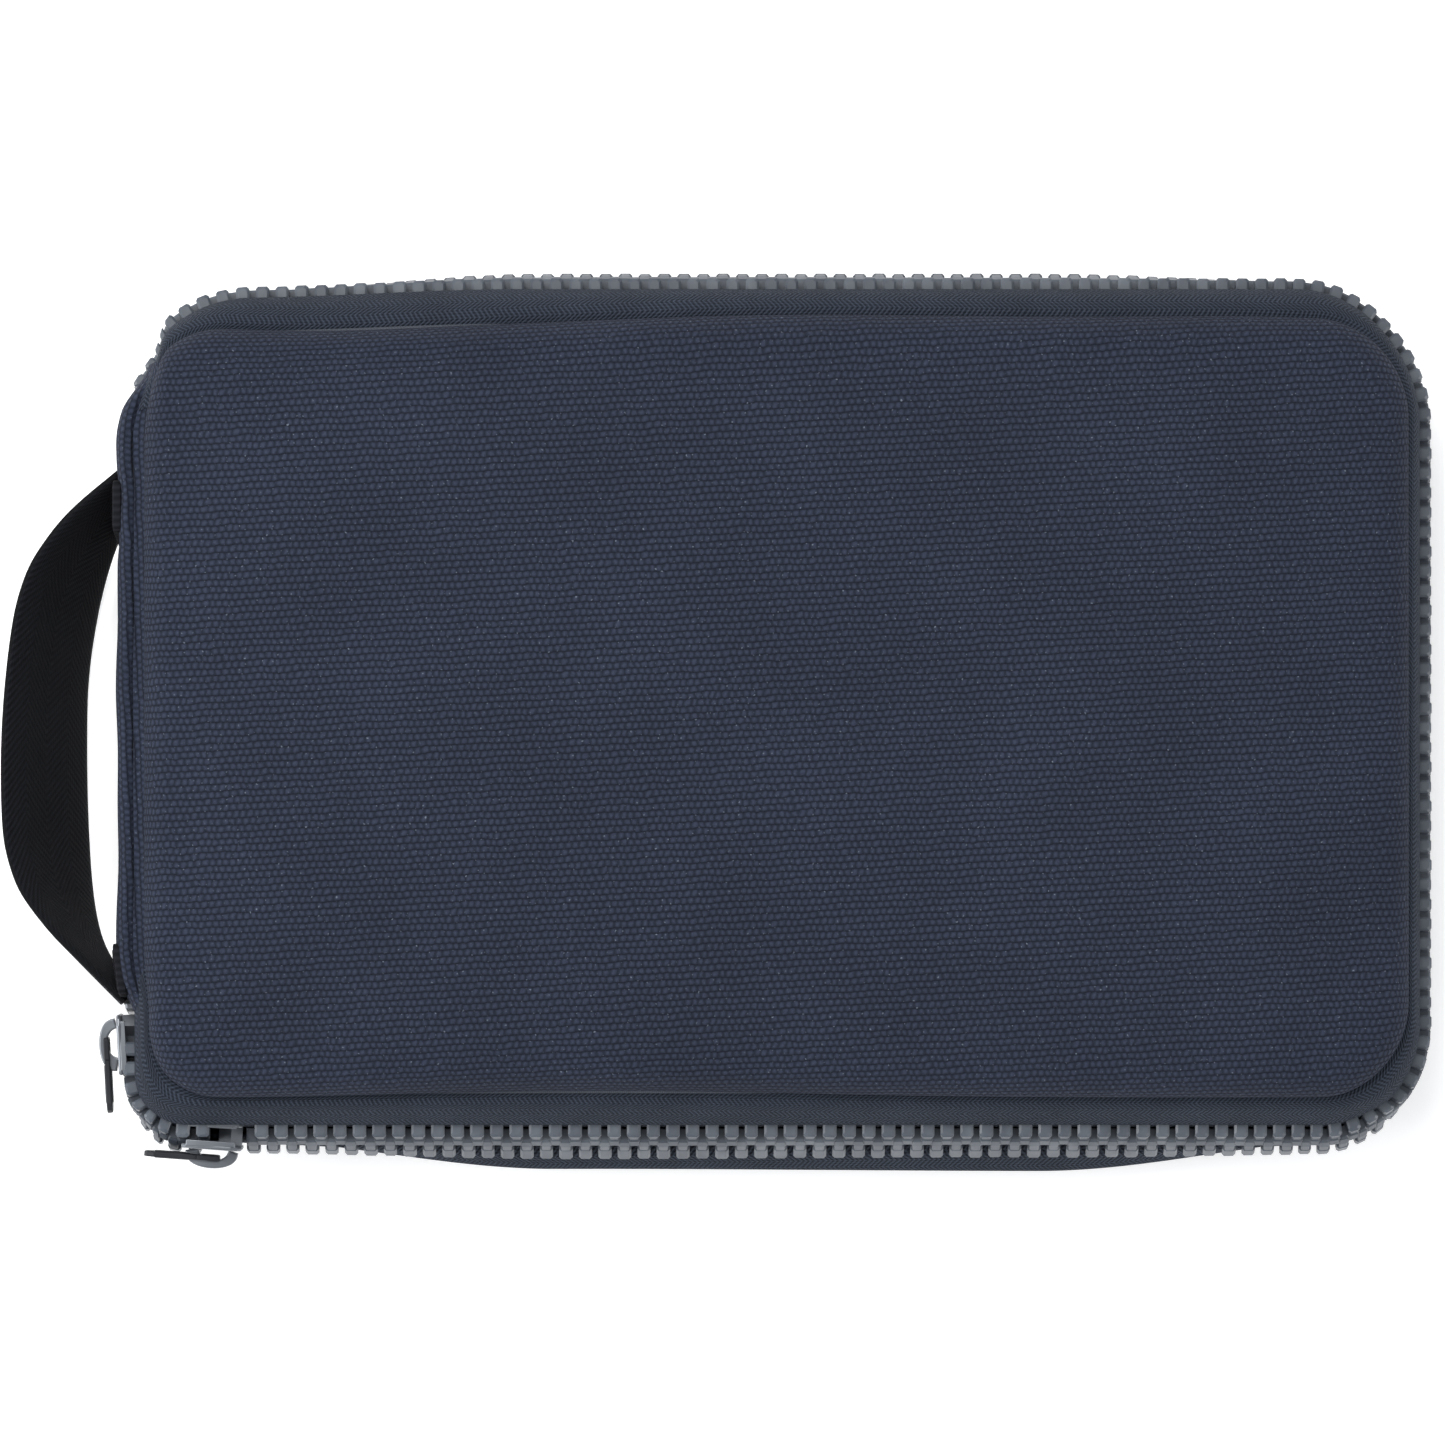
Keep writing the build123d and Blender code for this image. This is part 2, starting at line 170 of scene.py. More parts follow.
def seam_waver(x, y):
    """The hand of the sewing: the panel's long seams wander in and out by under a millimetre."""
    upper = 0.9 * np.sin(x / 41 + 0.6) + 0.35 * np.sin(x / 17 + 2.0)
    lower = 0.8 * np.sin(x / 52 - 1.1) + 0.3 * np.sin(x / 21)
    share = np.clip(y / PANEL_Y, -1, 1)
    middle = 1 - smoothstep(np.abs(x), PANEL_X - 35, PANEL_X)
    return middle * np.where(share > 0, upper, -lower) * np.abs(share) ** 6


PANEL_RADII = (14.0, 17.0, 16.5, 13.0)
CHAIN_RADII = (22.0, 24.0, 19.0, 11.0)
seam_line, seam_out = rounded_outline(PANEL_X, PANEL_Y, PANEL_RADII)
seam_line[:, 1] += seam_waver(*seam_line.T)
chain_line, chain_out = rounded_outline(CHAIN_X, CHAIN_Y, CHAIN_RADII)
chain_line[:, 0] -= smoothstep(chain_line[:, 0], 90, 110)


# ---------------------------------------------------------------- shader helpers
def new_material(name, base, roughness, metallic=0.0, sheen=0.0, coat=0.0, gloss=0.5):
    """A material with its Principled shader set, and its nodes and links to add to."""
    material = bpy.data.materials.new(name)
    material.use_nodes = True
    nodes, links = material.node_tree.nodes, material.node_tree.links
    shader = nodes["Principled BSDF"]
    shader.inputs["Base Color"].default_value = (*base, 1)
    shader.inputs["Roughness"].default_value = roughness
    shader.inputs["Metallic"].default_value = metallic
    shader.inputs["Sheen Weight"].default_value = sheen
    shader.inputs["Sheen Roughness"].default_value = 0.6
    shader.inputs["Coat Weight"].default_value = coat
    shader.inputs["Specular IOR Level"].default_value = gloss
    material.diffuse_color = (*base, 1)
    return material, nodes, links, shader


def sums(tree):
    """A short way to write maths in a node tree: m('ADD', a, b) returns the result's socket."""
    def m(operation, a, b=None, c=None):
        node = tree.nodes.new("ShaderNodeMath")
        node.operation = operation
        for socket, value in zip(node.inputs, (a, b, c)):
            if isinstance(value, bpy.types.NodeSocket):
                tree.links.new(value, socket)
            elif value is not None:
                socket.default_value = value
        return node.outputs[0]
    return m


def noise(tree, vector, scale, detail=2.0, roughness=0.5):
    """A noise texture's value at a vector."""
    node = tree.nodes.new("ShaderNodeTexNoise")
    node.inputs["Scale"].default_value = scale
    node.inputs["Detail"].default_value = detail
    node.inputs["Roughness"].default_value = roughness
    tree.links.new(vector, node.inputs["Vector"])
    return node.outputs["Fac"]


def group(name, inputs, outputs):
    """A node group with float or vector inputs and float outputs, and its two end nodes."""
    tree = bpy.data.node_groups.new(name, "ShaderNodeTree")
    for label, kind, value in inputs:
        socket = tree.interface.new_socket(label, in_out="INPUT", socket_type=kind)
        if value is not None:
            socket.default_value = value
    for label in outputs:
        tree.interface.new_socket(label, in_out="OUTPUT", socket_type="NodeSocketFloat")
    return tree, tree.nodes.new("NodeGroupInput").outputs, tree.nodes.new("NodeGroupOutput").inputs


def plain_weave_group():
    """Plain weave: yarns cross over and under like a chessboard, in millimetres of cloth.

    A row of the weft is the size of a sine across it. Along the row another sine lifts every
    second crossing, and its sign changes from row to row, so the bumps stand like bricks. A
    slow noise bends the yarns and a finer one thickens and thins them. Height is the yarns'
    relief, Over says where the warp is on top, Fleck marks the odd pale slub, and Tone is a
    broad fading.
    """
    tree, given, put = group("plain weave", [
        ("Vector", "NodeSocketVector", None), ("Warp", "NodeSocketFloat", 0.6),
        ("Weft", "NodeSocketFloat", 1.17), ("Uneven", "NodeSocketFloat", 0.25)],
        ["Height", "Over", "Fleck", "Tone"])
    m = sums(tree)
    split = tree.nodes.new("ShaderNodeSeparateXYZ")
    tree.links.new(given["Vector"], split.inputs[0])
    bend = m("SUBTRACT", noise(tree, given["Vector"], 0.22, 3), 0.5)
    ripple = m("SUBTRACT", noise(tree, given["Vector"], 0.9, 2), 0.5)
    shift = m("MULTIPLY", m("ADD", m("MULTIPLY", bend, 3.0), ripple), given["Uneven"])
    lean = m("MULTIPLY", split.outputs["X"], 0.05)
    x = m("SINE", m("MULTIPLY", m("DIVIDE", m("ADD", split.outputs["X"], shift), given["Warp"]), pi))
    y = m("SUBTRACT", m("ADD", split.outputs["Y"], m("MULTIPLY", shift, 0.6)), lean)
    y = m("SINE", m("MULTIPLY", m("DIVIDE", y, given["Weft"]), pi))
    crossing = m("MULTIPLY", x, m("SIGN", y))
    across = m("POWER", m("ABSOLUTE", y), 0.55)
    along = m("POWER", m("ADD", 0.5, m("MULTIPLY", crossing, 0.5)), 0.6)
    thick = m("ADD", 0.25, m("MULTIPLY", noise(tree, given["Vector"], 1.1, 3, 0.75), 1.5))
    height = m("MULTIPLY", m("MULTIPLY", across, m("ADD", 0.36, m("MULTIPLY", along, 0.64))), thick)
    tree.links.new(height, put["Height"])
    tree.links.new(m("GREATER_THAN", crossing, 0.0), put["Over"])
    fleck = noise(tree, given["Vector"], 1.9, 1)
    tree.links.new(m("MULTIPLY", m("MAXIMUM", m("SUBTRACT", fleck, 0.69), 0.0), 9.0), put["Fleck"])
    tree.links.new(noise(tree, given["Vector"], 0.035, 4), put["Tone"])
    return tree


def herringbone_group():
    """Herringbone: fine diagonal ribs that change side every few millimetres across the width.

    The rib's phase is the distance along plus or minus the distance across, and a triangle wave
    across the width flips its slope. Height is the ribs' relief and Tone is a broad fading.
    """
    tree, given, put = group("herringbone", [
        ("Vector", "NodeSocketVector", None), ("Rib", "NodeSocketFloat", 1.1),
        ("Band", "NodeSocketFloat", 6.25)], ["Height", "Tone"])
    m = sums(tree)
    split = tree.nodes.new("ShaderNodeSeparateXYZ")
    tree.links.new(given["Vector"], split.inputs[0])
    band = m("PINGPONG", m("ADD", split.outputs["Y"], 500.0), given["Band"])
    wander = m("MULTIPLY", m("SUBTRACT", noise(tree, given["Vector"], 0.5, 2), 0.5), 0.5)
    slant = m("ADD", split.outputs["X"], m("MULTIPLY", band, 0.9))
    phase = m("DIVIDE", m("ADD", slant, wander), given["Rib"])
    rib = m("ADD", 0.5, m("MULTIPLY", m("SINE", m("MULTIPLY", phase, 2 * pi)), 0.5))
    yarn = m("ADD", 0.5, m("MULTIPLY", m("SINE", m("MULTIPLY", split.outputs["Y"], 2 * pi / 0.55)), 0.5))
    tree.links.new(m("ADD", m("MULTIPLY", rib, 0.7), m("MULTIPLY", yarn, 0.3)), put["Height"])
    tree.links.new(noise(tree, given["Vector"], 0.12, 3), put["Tone"])
    return tree


def wear_group():
    """Small scratches and a rubbed tone for moulded and metal parts, from two noises."""
    tree, given, put = group("rubbed", [("Vector", "NodeSocketVector", None),
                                        ("Scale", "NodeSocketFloat", 900.0)], ["Grain", "Rub"])
    m = sums(tree)
    fine = tree.nodes.new("ShaderNodeTexNoise")
    broad = tree.nodes.new("ShaderNodeTexNoise")
    for node, share, detail in ((fine, 1.0, 3.0), (broad, 0.18, 2.0)):
        tree.links.new(given["Vector"], node.inputs["Vector"])
        tree.links.new(m("MULTIPLY", given["Scale"], share), node.inputs["Scale"])
        node.inputs["Detail"].default_value = detail
    tree.links.new(fine.outputs["Fac"], put["Grain"])
    tree.links.new(broad.outputs["Fac"], put["Rub"])
    return tree


WEAVE, HERRINGBONE, RUBBED = plain_weave_group(), herringbone_group(), wear_group()


def place_group(nodes, links, tree, vector, **values):
    """A node group in a material, fed with a vector and its own values."""
    node = nodes.new("ShaderNodeGroup")
    node.node_tree = tree
    links.new(vector, node.inputs["Vector"])
    for label, value in values.items():
        node.inputs[label].default_value = value
    return node.outputs


def colour_between(nodes, links, factor, low, high):
    """A colour that goes from low, a fixed colour or another node's, to high with a factor."""
    mix = nodes.new("ShaderNodeMix")
    mix.data_type = "RGBA"
    links.new(factor, mix.inputs["Factor"])
    if isinstance(low, tuple):
        mix.inputs["A"].default_value = (*low, 1)
    else:
        links.new(low, mix.inputs["A"])
    mix.inputs["B"].default_value = (*high, 1)
    return mix.outputs["Result"]


def scaled_colour(nodes, links, colour, factor):
    """A colour multiplied by a grey factor."""
    mix = nodes.new("ShaderNodeMix")
    mix.data_type, mix.blend_type = "RGBA", "MULTIPLY"
    mix.inputs["Factor"].default_value = 1.0
    links.new(colour, mix.inputs["A"])
    grey = nodes.new("ShaderNodeCombineColor")
    for channel in grey.inputs:
        links.new(factor, channel)
    links.new(grey.outputs[0], mix.inputs["B"])
    return mix.outputs["Result"]


def bump(nodes, links, height, shader, distance):
    """Relief of this depth in millimetres on the shader's normal."""
    node = nodes.new("ShaderNodeBump")
    node.inputs["Distance"].default_value = distance * MM
    links.new(height, node.inputs["Height"])
    links.new(node.outputs[0], shader.inputs["Normal"])


def cloth_vector(nodes):
    """The piece's own cloth map, in millimetres of cloth."""
    node = nodes.new("ShaderNodeUVMap")
    node.uv_map = "cloth"
    return node.outputs[0]


def woven_material(name, gap_shade, yarn, fleck, warp, weft, depth, sheen, uneven):
    """Plain-woven cloth: painted shade darkens the gaps between the yarns, which are lighter, with slubs and a
    faded tone.
    """
    material, nodes, links, shader = new_material(name, yarn, 0.92, sheen=sheen, gloss=0.12)
    m = sums(material.node_tree)
    cloth = place_group(nodes, links, WEAVE, cloth_vector(nodes), Warp=warp, Weft=weft, Uneven=uneven)
    # painted shade: where the weave's relief is low, between the yarns, the colour darkens to the shaded gap
    # colour
    colour = colour_between(nodes, links, cloth["Height"], gap_shade, yarn)
    colour = colour_between(nodes, links, cloth["Fleck"], colour, fleck)
    tone = m("ADD", 0.74, m("MULTIPLY", cloth["Tone"], 0.52))
    over = m("ADD", 0.93, m("MULTIPLY", cloth["Over"], 0.09))
    links.new(scaled_colour(nodes, links, colour, m("MULTIPLY", tone, over)), shader.inputs["Base Color"])
    links.new(m("SUBTRACT", 0.98, m("MULTIPLY", cloth["Height"], 0.12)), shader.inputs["Roughness"])
    bump(nodes, links, cloth["Height"], shader, depth)
    return material


def ribbed_material(name, dark, light, rib, band, depth):
    """Webbing or tape with herringbone ribs, and painted shade that darkens the grooves between them."""
    material, nodes, links, shader = new_material(name, light, 0.85, sheen=0.01, gloss=0.14)
    m = sums(material.node_tree)
    cloth = place_group(nodes, links, HERRINGBONE, cloth_vector(nodes), Rib=rib, Band=band)
    # painted shade: the colour darkens to the dark colour where the ribs' relief is low, in the grooves
    colour = colour_between(nodes, links, cloth["Height"], dark, light)
    tone = m("ADD", 0.75, m("MULTIPLY", cloth["Tone"], 0.5))
    links.new(scaled_colour(nodes, links, colour, tone), shader.inputs["Base Color"])
    bump(nodes, links, cloth["Height"], shader, depth)
    return material


def hard_material(name, base, roughness, metallic, coat, rub_colour, grain, gloss=0.5):
    """Moulded plastic or enamelled metal: fine grain, and a paler rubbed tone in patches."""
    material, nodes, links, shader = new_material(name, base, roughness, metallic, coat=coat, gloss=gloss)
    m = sums(material.node_tree)
    place = nodes.new("ShaderNodeTexCoord").outputs["Object"]
    worn = place_group(nodes, links, RUBBED, place, Scale=grain)
    share = m("MULTIPLY", m("MAXIMUM", m("SUBTRACT", worn["Rub"], 0.42), 0.0), 2.6)
    links.new(colour_between(nodes, links, share, base, rub_colour), shader.inputs["Base Color"])
    links.new(m("ADD", roughness - 0.08, m("MULTIPLY", worn["Grain"], 0.16)), shader.inputs["Roughness"])
    bump(nodes, links, worn["Grain"], shader, 0.02)
    return material


# The first colour given to each woven cloth is painted shade in the gaps between its yarns.
canvas = woven_material("navy canvas", (0.0052, 0.0068, 0.0125), (0.0275, 0.0345, 0.058),
                        (0.11, 0.13, 0.165), 0.6, 1.17, 0.26, 0.02, 0.5)
lining_cloth = woven_material("slate lining", (0.040, 0.046, 0.058), (0.095, 0.106, 0.130),
                              (0.13, 0.14, 0.17), 0.22, 0.22, 0.03, 0.05, 0.08)
pocket_cloth = woven_material("slate pocket cloth", (0.030, 0.035, 0.045), (0.070, 0.080, 0.102),
                              (0.10, 0.11, 0.14), 0.32, 0.36, 0.05, 0.05, 0.1)
# The first colour given to each ribbed cloth is painted shade in its grooves.
webbing = ribbed_material("black webbing", (0.0015, 0.0018, 0.003), (0.0105, 0.011, 0.0155), 1.3, 6.25, 0.25)
zip_tape = ribbed_material("slate zip tape", (0.0045, 0.0065, 0.0115), (0.039, 0.049, 0.070), 0.85, 1.7, 0.26)
thread = ribbed_material("black thread", (0.002, 0.002, 0.0035), (0.011, 0.0115, 0.016), 0.5, 0.5, 0.1)
tooth_plastic = hard_material("slate resin", (0.050, 0.060, 0.077), 0.42, 0.0, 0.08,
                              (0.10, 0.115, 0.135), 700)
slider_metal = hard_material("gunmetal", (0.10, 0.11, 0.125), 0.36, 0.35, 0.2, (0.20, 0.215, 0.24), 500)
# pull_metal is the slider's gunmetal darkened by painted shade, as if the pull lay in shadow; it also covers the
# pocket slider's pull.
pull_metal = hard_material("gunmetal with painted shade", (0.011, 0.012, 0.015), 0.5, 0.0, 0.0,
                           (0.024, 0.026, 0.031), 500, 0.2)
coil_nylon = hard_material("black nylon", (0.010, 0.012, 0.016), 0.38, 0.0, 0.05,
                           (0.03, 0.033, 0.04), 900)


# ---------------------------------------------------------------- how it lies
def lay(points):
    """Points moved as the organizer lies, a little askew, by a sum of smooth steps."""
    points = np.array(points, float).reshape(-1, 3)
    x, y, z = points.T
    middle = 1 - smoothstep(np.abs(x - 3), 42, PANEL_X)
    # the front sits toward +Y over the back, and the chain stays where it is
    shift = 2.9 * (smoothstep(z, 3, SEAM_FRONT) - smoothstep(CHAIN_Z, 3, SEAM_FRONT))
    # the lower side of the back half bulges out from under the teeth
    shift -= 8.2 * (1 - smoothstep(z, 6, 15)) * middle * smoothstep(-y, 48, 68)
    # the chain's lower side lies a little in, and its back row a little out
    shift += 1.3 * smoothstep(-y, 66, 72) * smoothstep(z, 8, 14)
    shift -= 1.6 * smoothstep(-y, 66, 72) * smoothstep(z, 9, 13) * (1 - smoothstep(z, 15.5, 19.5))
    # the back row of the upper side shows past the front row, and its spine end draws in
    shift += 2.3 * middle * smoothstep(y, 60, 70) * smoothstep(z, 4, 10) * (1 - smoothstep(z, 15, 20))
    shift -= 1.5 * smoothstep(-x, 45, 95) * smoothstep(y, 55, 70)
    # the far end and both ends of the spine draw in
    points[:, 0] -= 1.2 * smoothstep(x, 80, 110)
    ends = np.maximum(3.8 * smoothstep(y, 46, 64), 1.3 * smoothstep(-y, 41, 53))
    points[:, 0] += ends * smoothstep(-x, 105, 113)
    points[:, 1] += shift
    return points


def slab_faces(rows, columns, flip):
    """Faces of a closed slab: an outer grid, an inner grid that follows it, and the rim."""
    outer = grid_faces(rows, columns)
    n = rows * columns
    inner = [[a + n for a in quad[::-1]] for quad in outer]
    edge = list(range(columns))
    edge += [i * columns + columns - 1 for i in range(1, rows)]
    edge += [(rows - 1) * columns + j for j in range(columns - 2, -1, -1)]
    edge += [i * columns for i in range(rows - 2, 0, -1)]
    faces = outer + inner + [[b, a, a + n, b + n] for a, b in zip(edge, edge[1:] + edge[:1])]
    return [face[::-1] for face in faces] if flip else faces


def put_slab(name, outer, inner, uv, flip, material, body):
    """A closed piece between an outer and an inner grid, laid in its place, with a cloth map."""
    points = lay(np.concatenate([outer.reshape(-1, 3), inner.reshape(-1, 3)]))
    both = np.concatenate([uv.reshape(-1, 2)] * 2)
    return put_mesh(name, points, slab_faces(*outer.shape[:2], flip), material, body, uv=both)


def grid_normals(points):
    """Unit normals of a grid of points, from the differences along its rows and columns."""
    out = np.cross(np.gradient(points, axis=1), np.gradient(points, axis=0))
    return out / np.maximum(np.linalg.norm(out, axis=-1, keepdims=True), 1e-9)


def cloth_slab(name, outer, thickness, material, body=None, side=1):
    """A closed piece of cloth from the grid of its outer surface, seen with side's sense, and its
    thickness inward. Its cloth map is the distance along the rows and the columns."""
    inner = outer - grid_normals(outer) * side * thickness
    across = arc_lengths(np.swapaxes(outer, 0, 1)).T
    uv = np.stack([arc_lengths(outer).mean(0)[None, :] + 0 * across, across], -1)
    return put_slab(name, outer, inner, uv, side > 0, material, body)


def declare_sheet(piece):
    """Returns the piece unchanged; it declares nothing."""
    return piece


# ---------------------------------------------------------------- padded canvas panels
def spread_rows(half, edge, roll, step):
    """Coordinates from -half to half: closely spaced over the rolled edge, then evenly."""
    turn = np.linspace(0, pi / 2, edge)
    inset = roll * (1 - np.cos(turn))
    count = int(2 * (half - roll) / step)
    flat = np.linspace(-half + roll, half - roll, count)
    return np.concatenate([-half + inset[:-1], flat, half - inset[:-1][::-1]])


def rounded_plan(half_x, half_y, y, u, radius):
    """X and Y of a grid that fills a rounded rectangle: u from -1 to 1 is stretched at each y to
    the width that the corners leave there."""
    into = np.maximum(np.abs(y) - (half_y - radius), 0)
    return u * (half_x - radius + np.sqrt(np.maximum(radius ** 2 - into ** 2, 0))), y + 0 * u


def canvas_relief(x, y):
    """Gentle unevenness of stuffed canvas: broad swells, and short puckers along the seams."""
    swell = 0.35 * np.sin(x / 37 + 0.8 * np.sin(y / 23)) * np.cos(y / 31 + 0.6)
    swell += 0.22 * np.sin((x + 1.7 * y) / 29 + 1.3) + 0.16 * np.sin((x - 2.1 * y) / 19)
    d = edge_distance(x, y, PANEL_X, PANEL_Y, 12)
    pucker = 0.26 * np.sin(x / 3.1 + np.sin(x / 11)) + 0.2 * np.sin(y / 2.9 + x / 17)
    return swell * smoothstep(d, 3, 25) + pucker * np.exp(-((d - 5) / 6) ** 2)


def pillow(name, seam, rise, pad, way, roll, body, material):
    """A padded panel: canvas that rolls up from its seam over a quarter of an ellipse and then
    crowns gently, with a flat underside where the padding ends. way is 1 up and -1 down."""
    y = spread_rows(PANEL_Y, 22, roll, 1.4)[:, None]
    u = spread_rows(PANEL_X, 22, roll, 1.4)[None, :] / PANEL_X
    radius = np.where(y > 0, np.where(u > 0, PANEL_RADII[1], PANEL_RADII[0]),
                      np.where(u > 0, PANEL_RADII[2], PANEL_RADII[3]))
    x, y = rounded_plan(PANEL_X, PANEL_Y, y, u, radius)
    d = np.maximum(edge_distance(x, y, PANEL_X, PANEL_Y, radius), 0)
    t = np.clip(1 - d / roll, 0, 1)
    up = rise * (0.5 * np.sqrt(1 - t ** 2.2) + 0.5 * (1 - np.maximum(1 - d / 42, 0) ** 2.6))
    puffed = up + canvas_relief(x, y) * smoothstep(d, 0.5, 9) * min(rise / 8, 1)
    z = seam + way * puffed
    under = seam + way * np.minimum(puffed - 0.02, rise - pad)
    waved = y + seam_waver(x, y) * (1 - smoothstep(d, 0, 12))
    qx, qy = np.abs(x) - PANEL_X + radius, np.abs(y) - PANEL_Y + radius
    toward_x = np.maximum(qx, 0) / np.maximum(np.maximum(qx, 0) + np.maximum(qy, 0), 1e-6)
    drop = rise * 0.5 * (1 - np.sqrt(1 - t ** 2.2))
    uv = np.stack([x + np.sign(x) * drop * toward_x, y + np.sign(y) * drop * (1 - toward_x)], -1)
    outer, inner = np.stack([x, waved, z], -1), np.stack([x, waved, under], -1)
    return put_slab(name, outer, inner, uv, way < 0, material, body)


front_canvas = pillow("front_canvas", SEAM_FRONT, TOP - SEAM_FRONT, PAD, 1, 4.6, "front_cover", canvas)
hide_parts("front_panel", "front_padding")
back_canvas = pillow("back_canvas", SEAM_BACK, BACK_RISE, BACK_PAD, -1, 4.0, "back_shell", canvas)
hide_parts("back_panel", "back_padding")


# ---------------------------------------------------------------- zip tapes
def tape_rows(way):
    """Grid of a zip tape's outer face, from the panel's seam round to the tooth roots.

    A flange goes up under the panel, a quadratic curve leaves the seam, swells past the chain
    line by half a millimetre, and then stands upright behind the teeth. way is 1 for the front
    tape and -1 for the back one.
    """
    keep = slice_of_zip(seam_line, 6.5)
    seam, inward, chain = seam_line[keep], -seam_out[keep], chain_line[keep]
    seam_z, lift = (SEAM_FRONT, 2.8) if way > 0 else (SEAM_BACK, 1.2)

    def at_height(plan, z):
        return np.column_stack([plan, np.full(len(plan), z)])

    flange = at_height(seam + 3.0 * inward, seam_z + lift * way)
    start = at_height(seam + 1.3 * inward, seam_z - 0.7 * way)
    turn = at_height(seam * 0.4 + chain * 0.6, seam_z + 0.7 * way)
    end = at_height(chain - 0.5 * chain_out[keep], CHAIN_Z + 6.3 * way)
    low = at_height(end[:, :2], CHAIN_Z + 1.6 * way)
    t = np.linspace(0, 1, 15)[:, None, None]
    curve = start * (1 - t) ** 2 + 2 * turn * t * (1 - t) + end * t ** 2
    t = np.linspace(0, 1, 7)[1:, None, None]
    return np.concatenate([flange[None], curve, end + (low - end) * t])


def slice_of_zip(line, tuck):
    """Which outline points the zip covers, from the spine's upper end round to its lower end,
    and tuck further on behind the spine at both."""
    half = len(line) // 2
    x, y = line[half:].T
    first = np.argmax(line[:half, 1] > SPINE_HIGH - tuck)
    last = half + np.argmax((x < -PANEL_X + 1) & (y > SPINE_LOW + tuck) & (y < 0))
    return np.arange(first, last + 1)


# A turn spreads along the chain from the spine to the panel, while the tape's sewn edge keeps to
# the panel almost from the fold on.
for way, name, nodes, body in ((1, "front_zip_tape", ("front_tape", "zip_end_upper"), "front_cover"),
                               (-1, "back_zip_tape", ("back_tape", "zip_end_lower"), "back_shell")):
    grid = tape_rows(way)
    tape = cloth_slab(name, grid, 0.6, zip_tape, side=way)
    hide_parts(*nodes)
    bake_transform(tape)


# ---------------------------------------------------------------- teeth
def along_path(line, out, distances):
    """Point, outward direction and forward direction at these distances along an outline."""
    run = arc_lengths(line[None])[0]
    point = np.stack([np.interp(distances, run, line[:, k]) for k in range(2)], -1)
    outward = np.stack([np.interp(distances, run, out[:, k]) for k in range(2)], -1)
    outward /= np.linalg.norm(outward, axis=-1, keepdims=True)
    return point, outward, np.stack([outward[:, 1], -outward[:, 0]], -1)


TOOTH_OUT = 0.15            # the teeth stand this far outside the chain line


def tooth_shape():
    """One tooth as closed boxes with bevelled rims, in its own frame: a = along the chain,
    b = outward, c = from the chain's middle toward its own tape. A broad root block grips the
    tape, a narrower neck joins it to the head, and the head reaches past the middle."""
    blocks = [(1.16, -1.10, 1.45, 2.35, 5.20, 0.40),    # root block
              (0.80, -0.75, 1.35, 0.60, 2.60, 0.20),    # neck
              (1.08, -0.95, 1.60, -0.62, 0.95, 0.34)]   # head
    verts, faces = [], []
    for half, b0, b1, c0, c1, r in blocks:
        base = len(verts)
        for c, inset in ((c0, r), (c0 + r * 0.8, 0), (c1 - r * 0.8, 0), (c1, r)):
            a, low, high, cut = half - inset, b0 + inset, b1 - inset, r
            verts += [(-a, low, c), (a, low, c), (a, high - cut, c), (a - cut, high, c),
                      (-a + cut, high, c), (-a, high - cut, c)]
        for ring in range(3):
            for k in range(6):
                p, q = base + ring * 6 + k, base + ring * 6 + (k + 1) % 6
                faces.append([p, q, q + 6, p + 6])
        faces += [[base + k for k in range(5, -1, -1)], [base + 18 + k for k in range(6)]]
    return np.array(verts), faces


def tooth_row(name, distances, way):
    """A row of teeth standing on the chain line. Each shape point goes to point + a * forward +
    b * outward + c * way in z. Their size and height waver a little from tooth to tooth."""
    shape, faces = tooth_shape()
    point, outward, forward = along_path(chain_line, chain_out, distances)
    size = 1 + 0.03 * np.sin(np.arange(len(distances)) * 2.4)[:, None, None]
    a, b, c = (shape[None, :, k, None] for k in range(3))
    flat = point[:, None] + a * forward[:, None] * size + (b * size + TOOTH_OUT) * outward[:, None]
    lift = 0.12 * np.sin(np.arange(len(distances)) / 6.3)[:, None, None]
    z = np.broadcast_to(CHAIN_Z + way * c + lift, flat.shape[:2] + (1,))
    points = np.concatenate([flat, z], -1)
    faces = [face if way > 0 else face[::-1] for face in faces]
    faces = repeated(faces, len(shape), len(distances))
    return put_mesh(name, lay(points), faces, tooth_plastic, smooth=False)


run = arc_lengths(chain_line[None])[0]
first_tooth = run[slice_of_zip(chain_line, 1.5)[0]] - 1.0
back_half = len(run) // 2   # from the far end back along the lower side
beside_b = np.abs(chain_line[back_half:, 0] - SLIDER_B[0]) + 9 * (chain_line[back_half:, 1] > 0)
at_b = run[back_half + np.argmin(beside_b)]
last_tooth = run[slice_of_zip(chain_line, 1.5)[-1]] + 1.0
places = np.arange(first_tooth, last_tooth, PITCH)
wedge = (places > at_b - 5.8) & (places < at_b - 0.3)
clear = ~wedge & (places < last_tooth - 9.5)
for way, name, nodes, shift, body in (
        (1, "front_zip_teeth", ("front_teeth", "end_teeth"), 0.0, "front_cover"),
        (-1, "back_zip_teeth", ("back_teeth",), PITCH / 2, "back_shell")):
    row = tooth_row(name, (places + shift)[clear], way)
    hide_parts(*nodes)
    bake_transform(row)


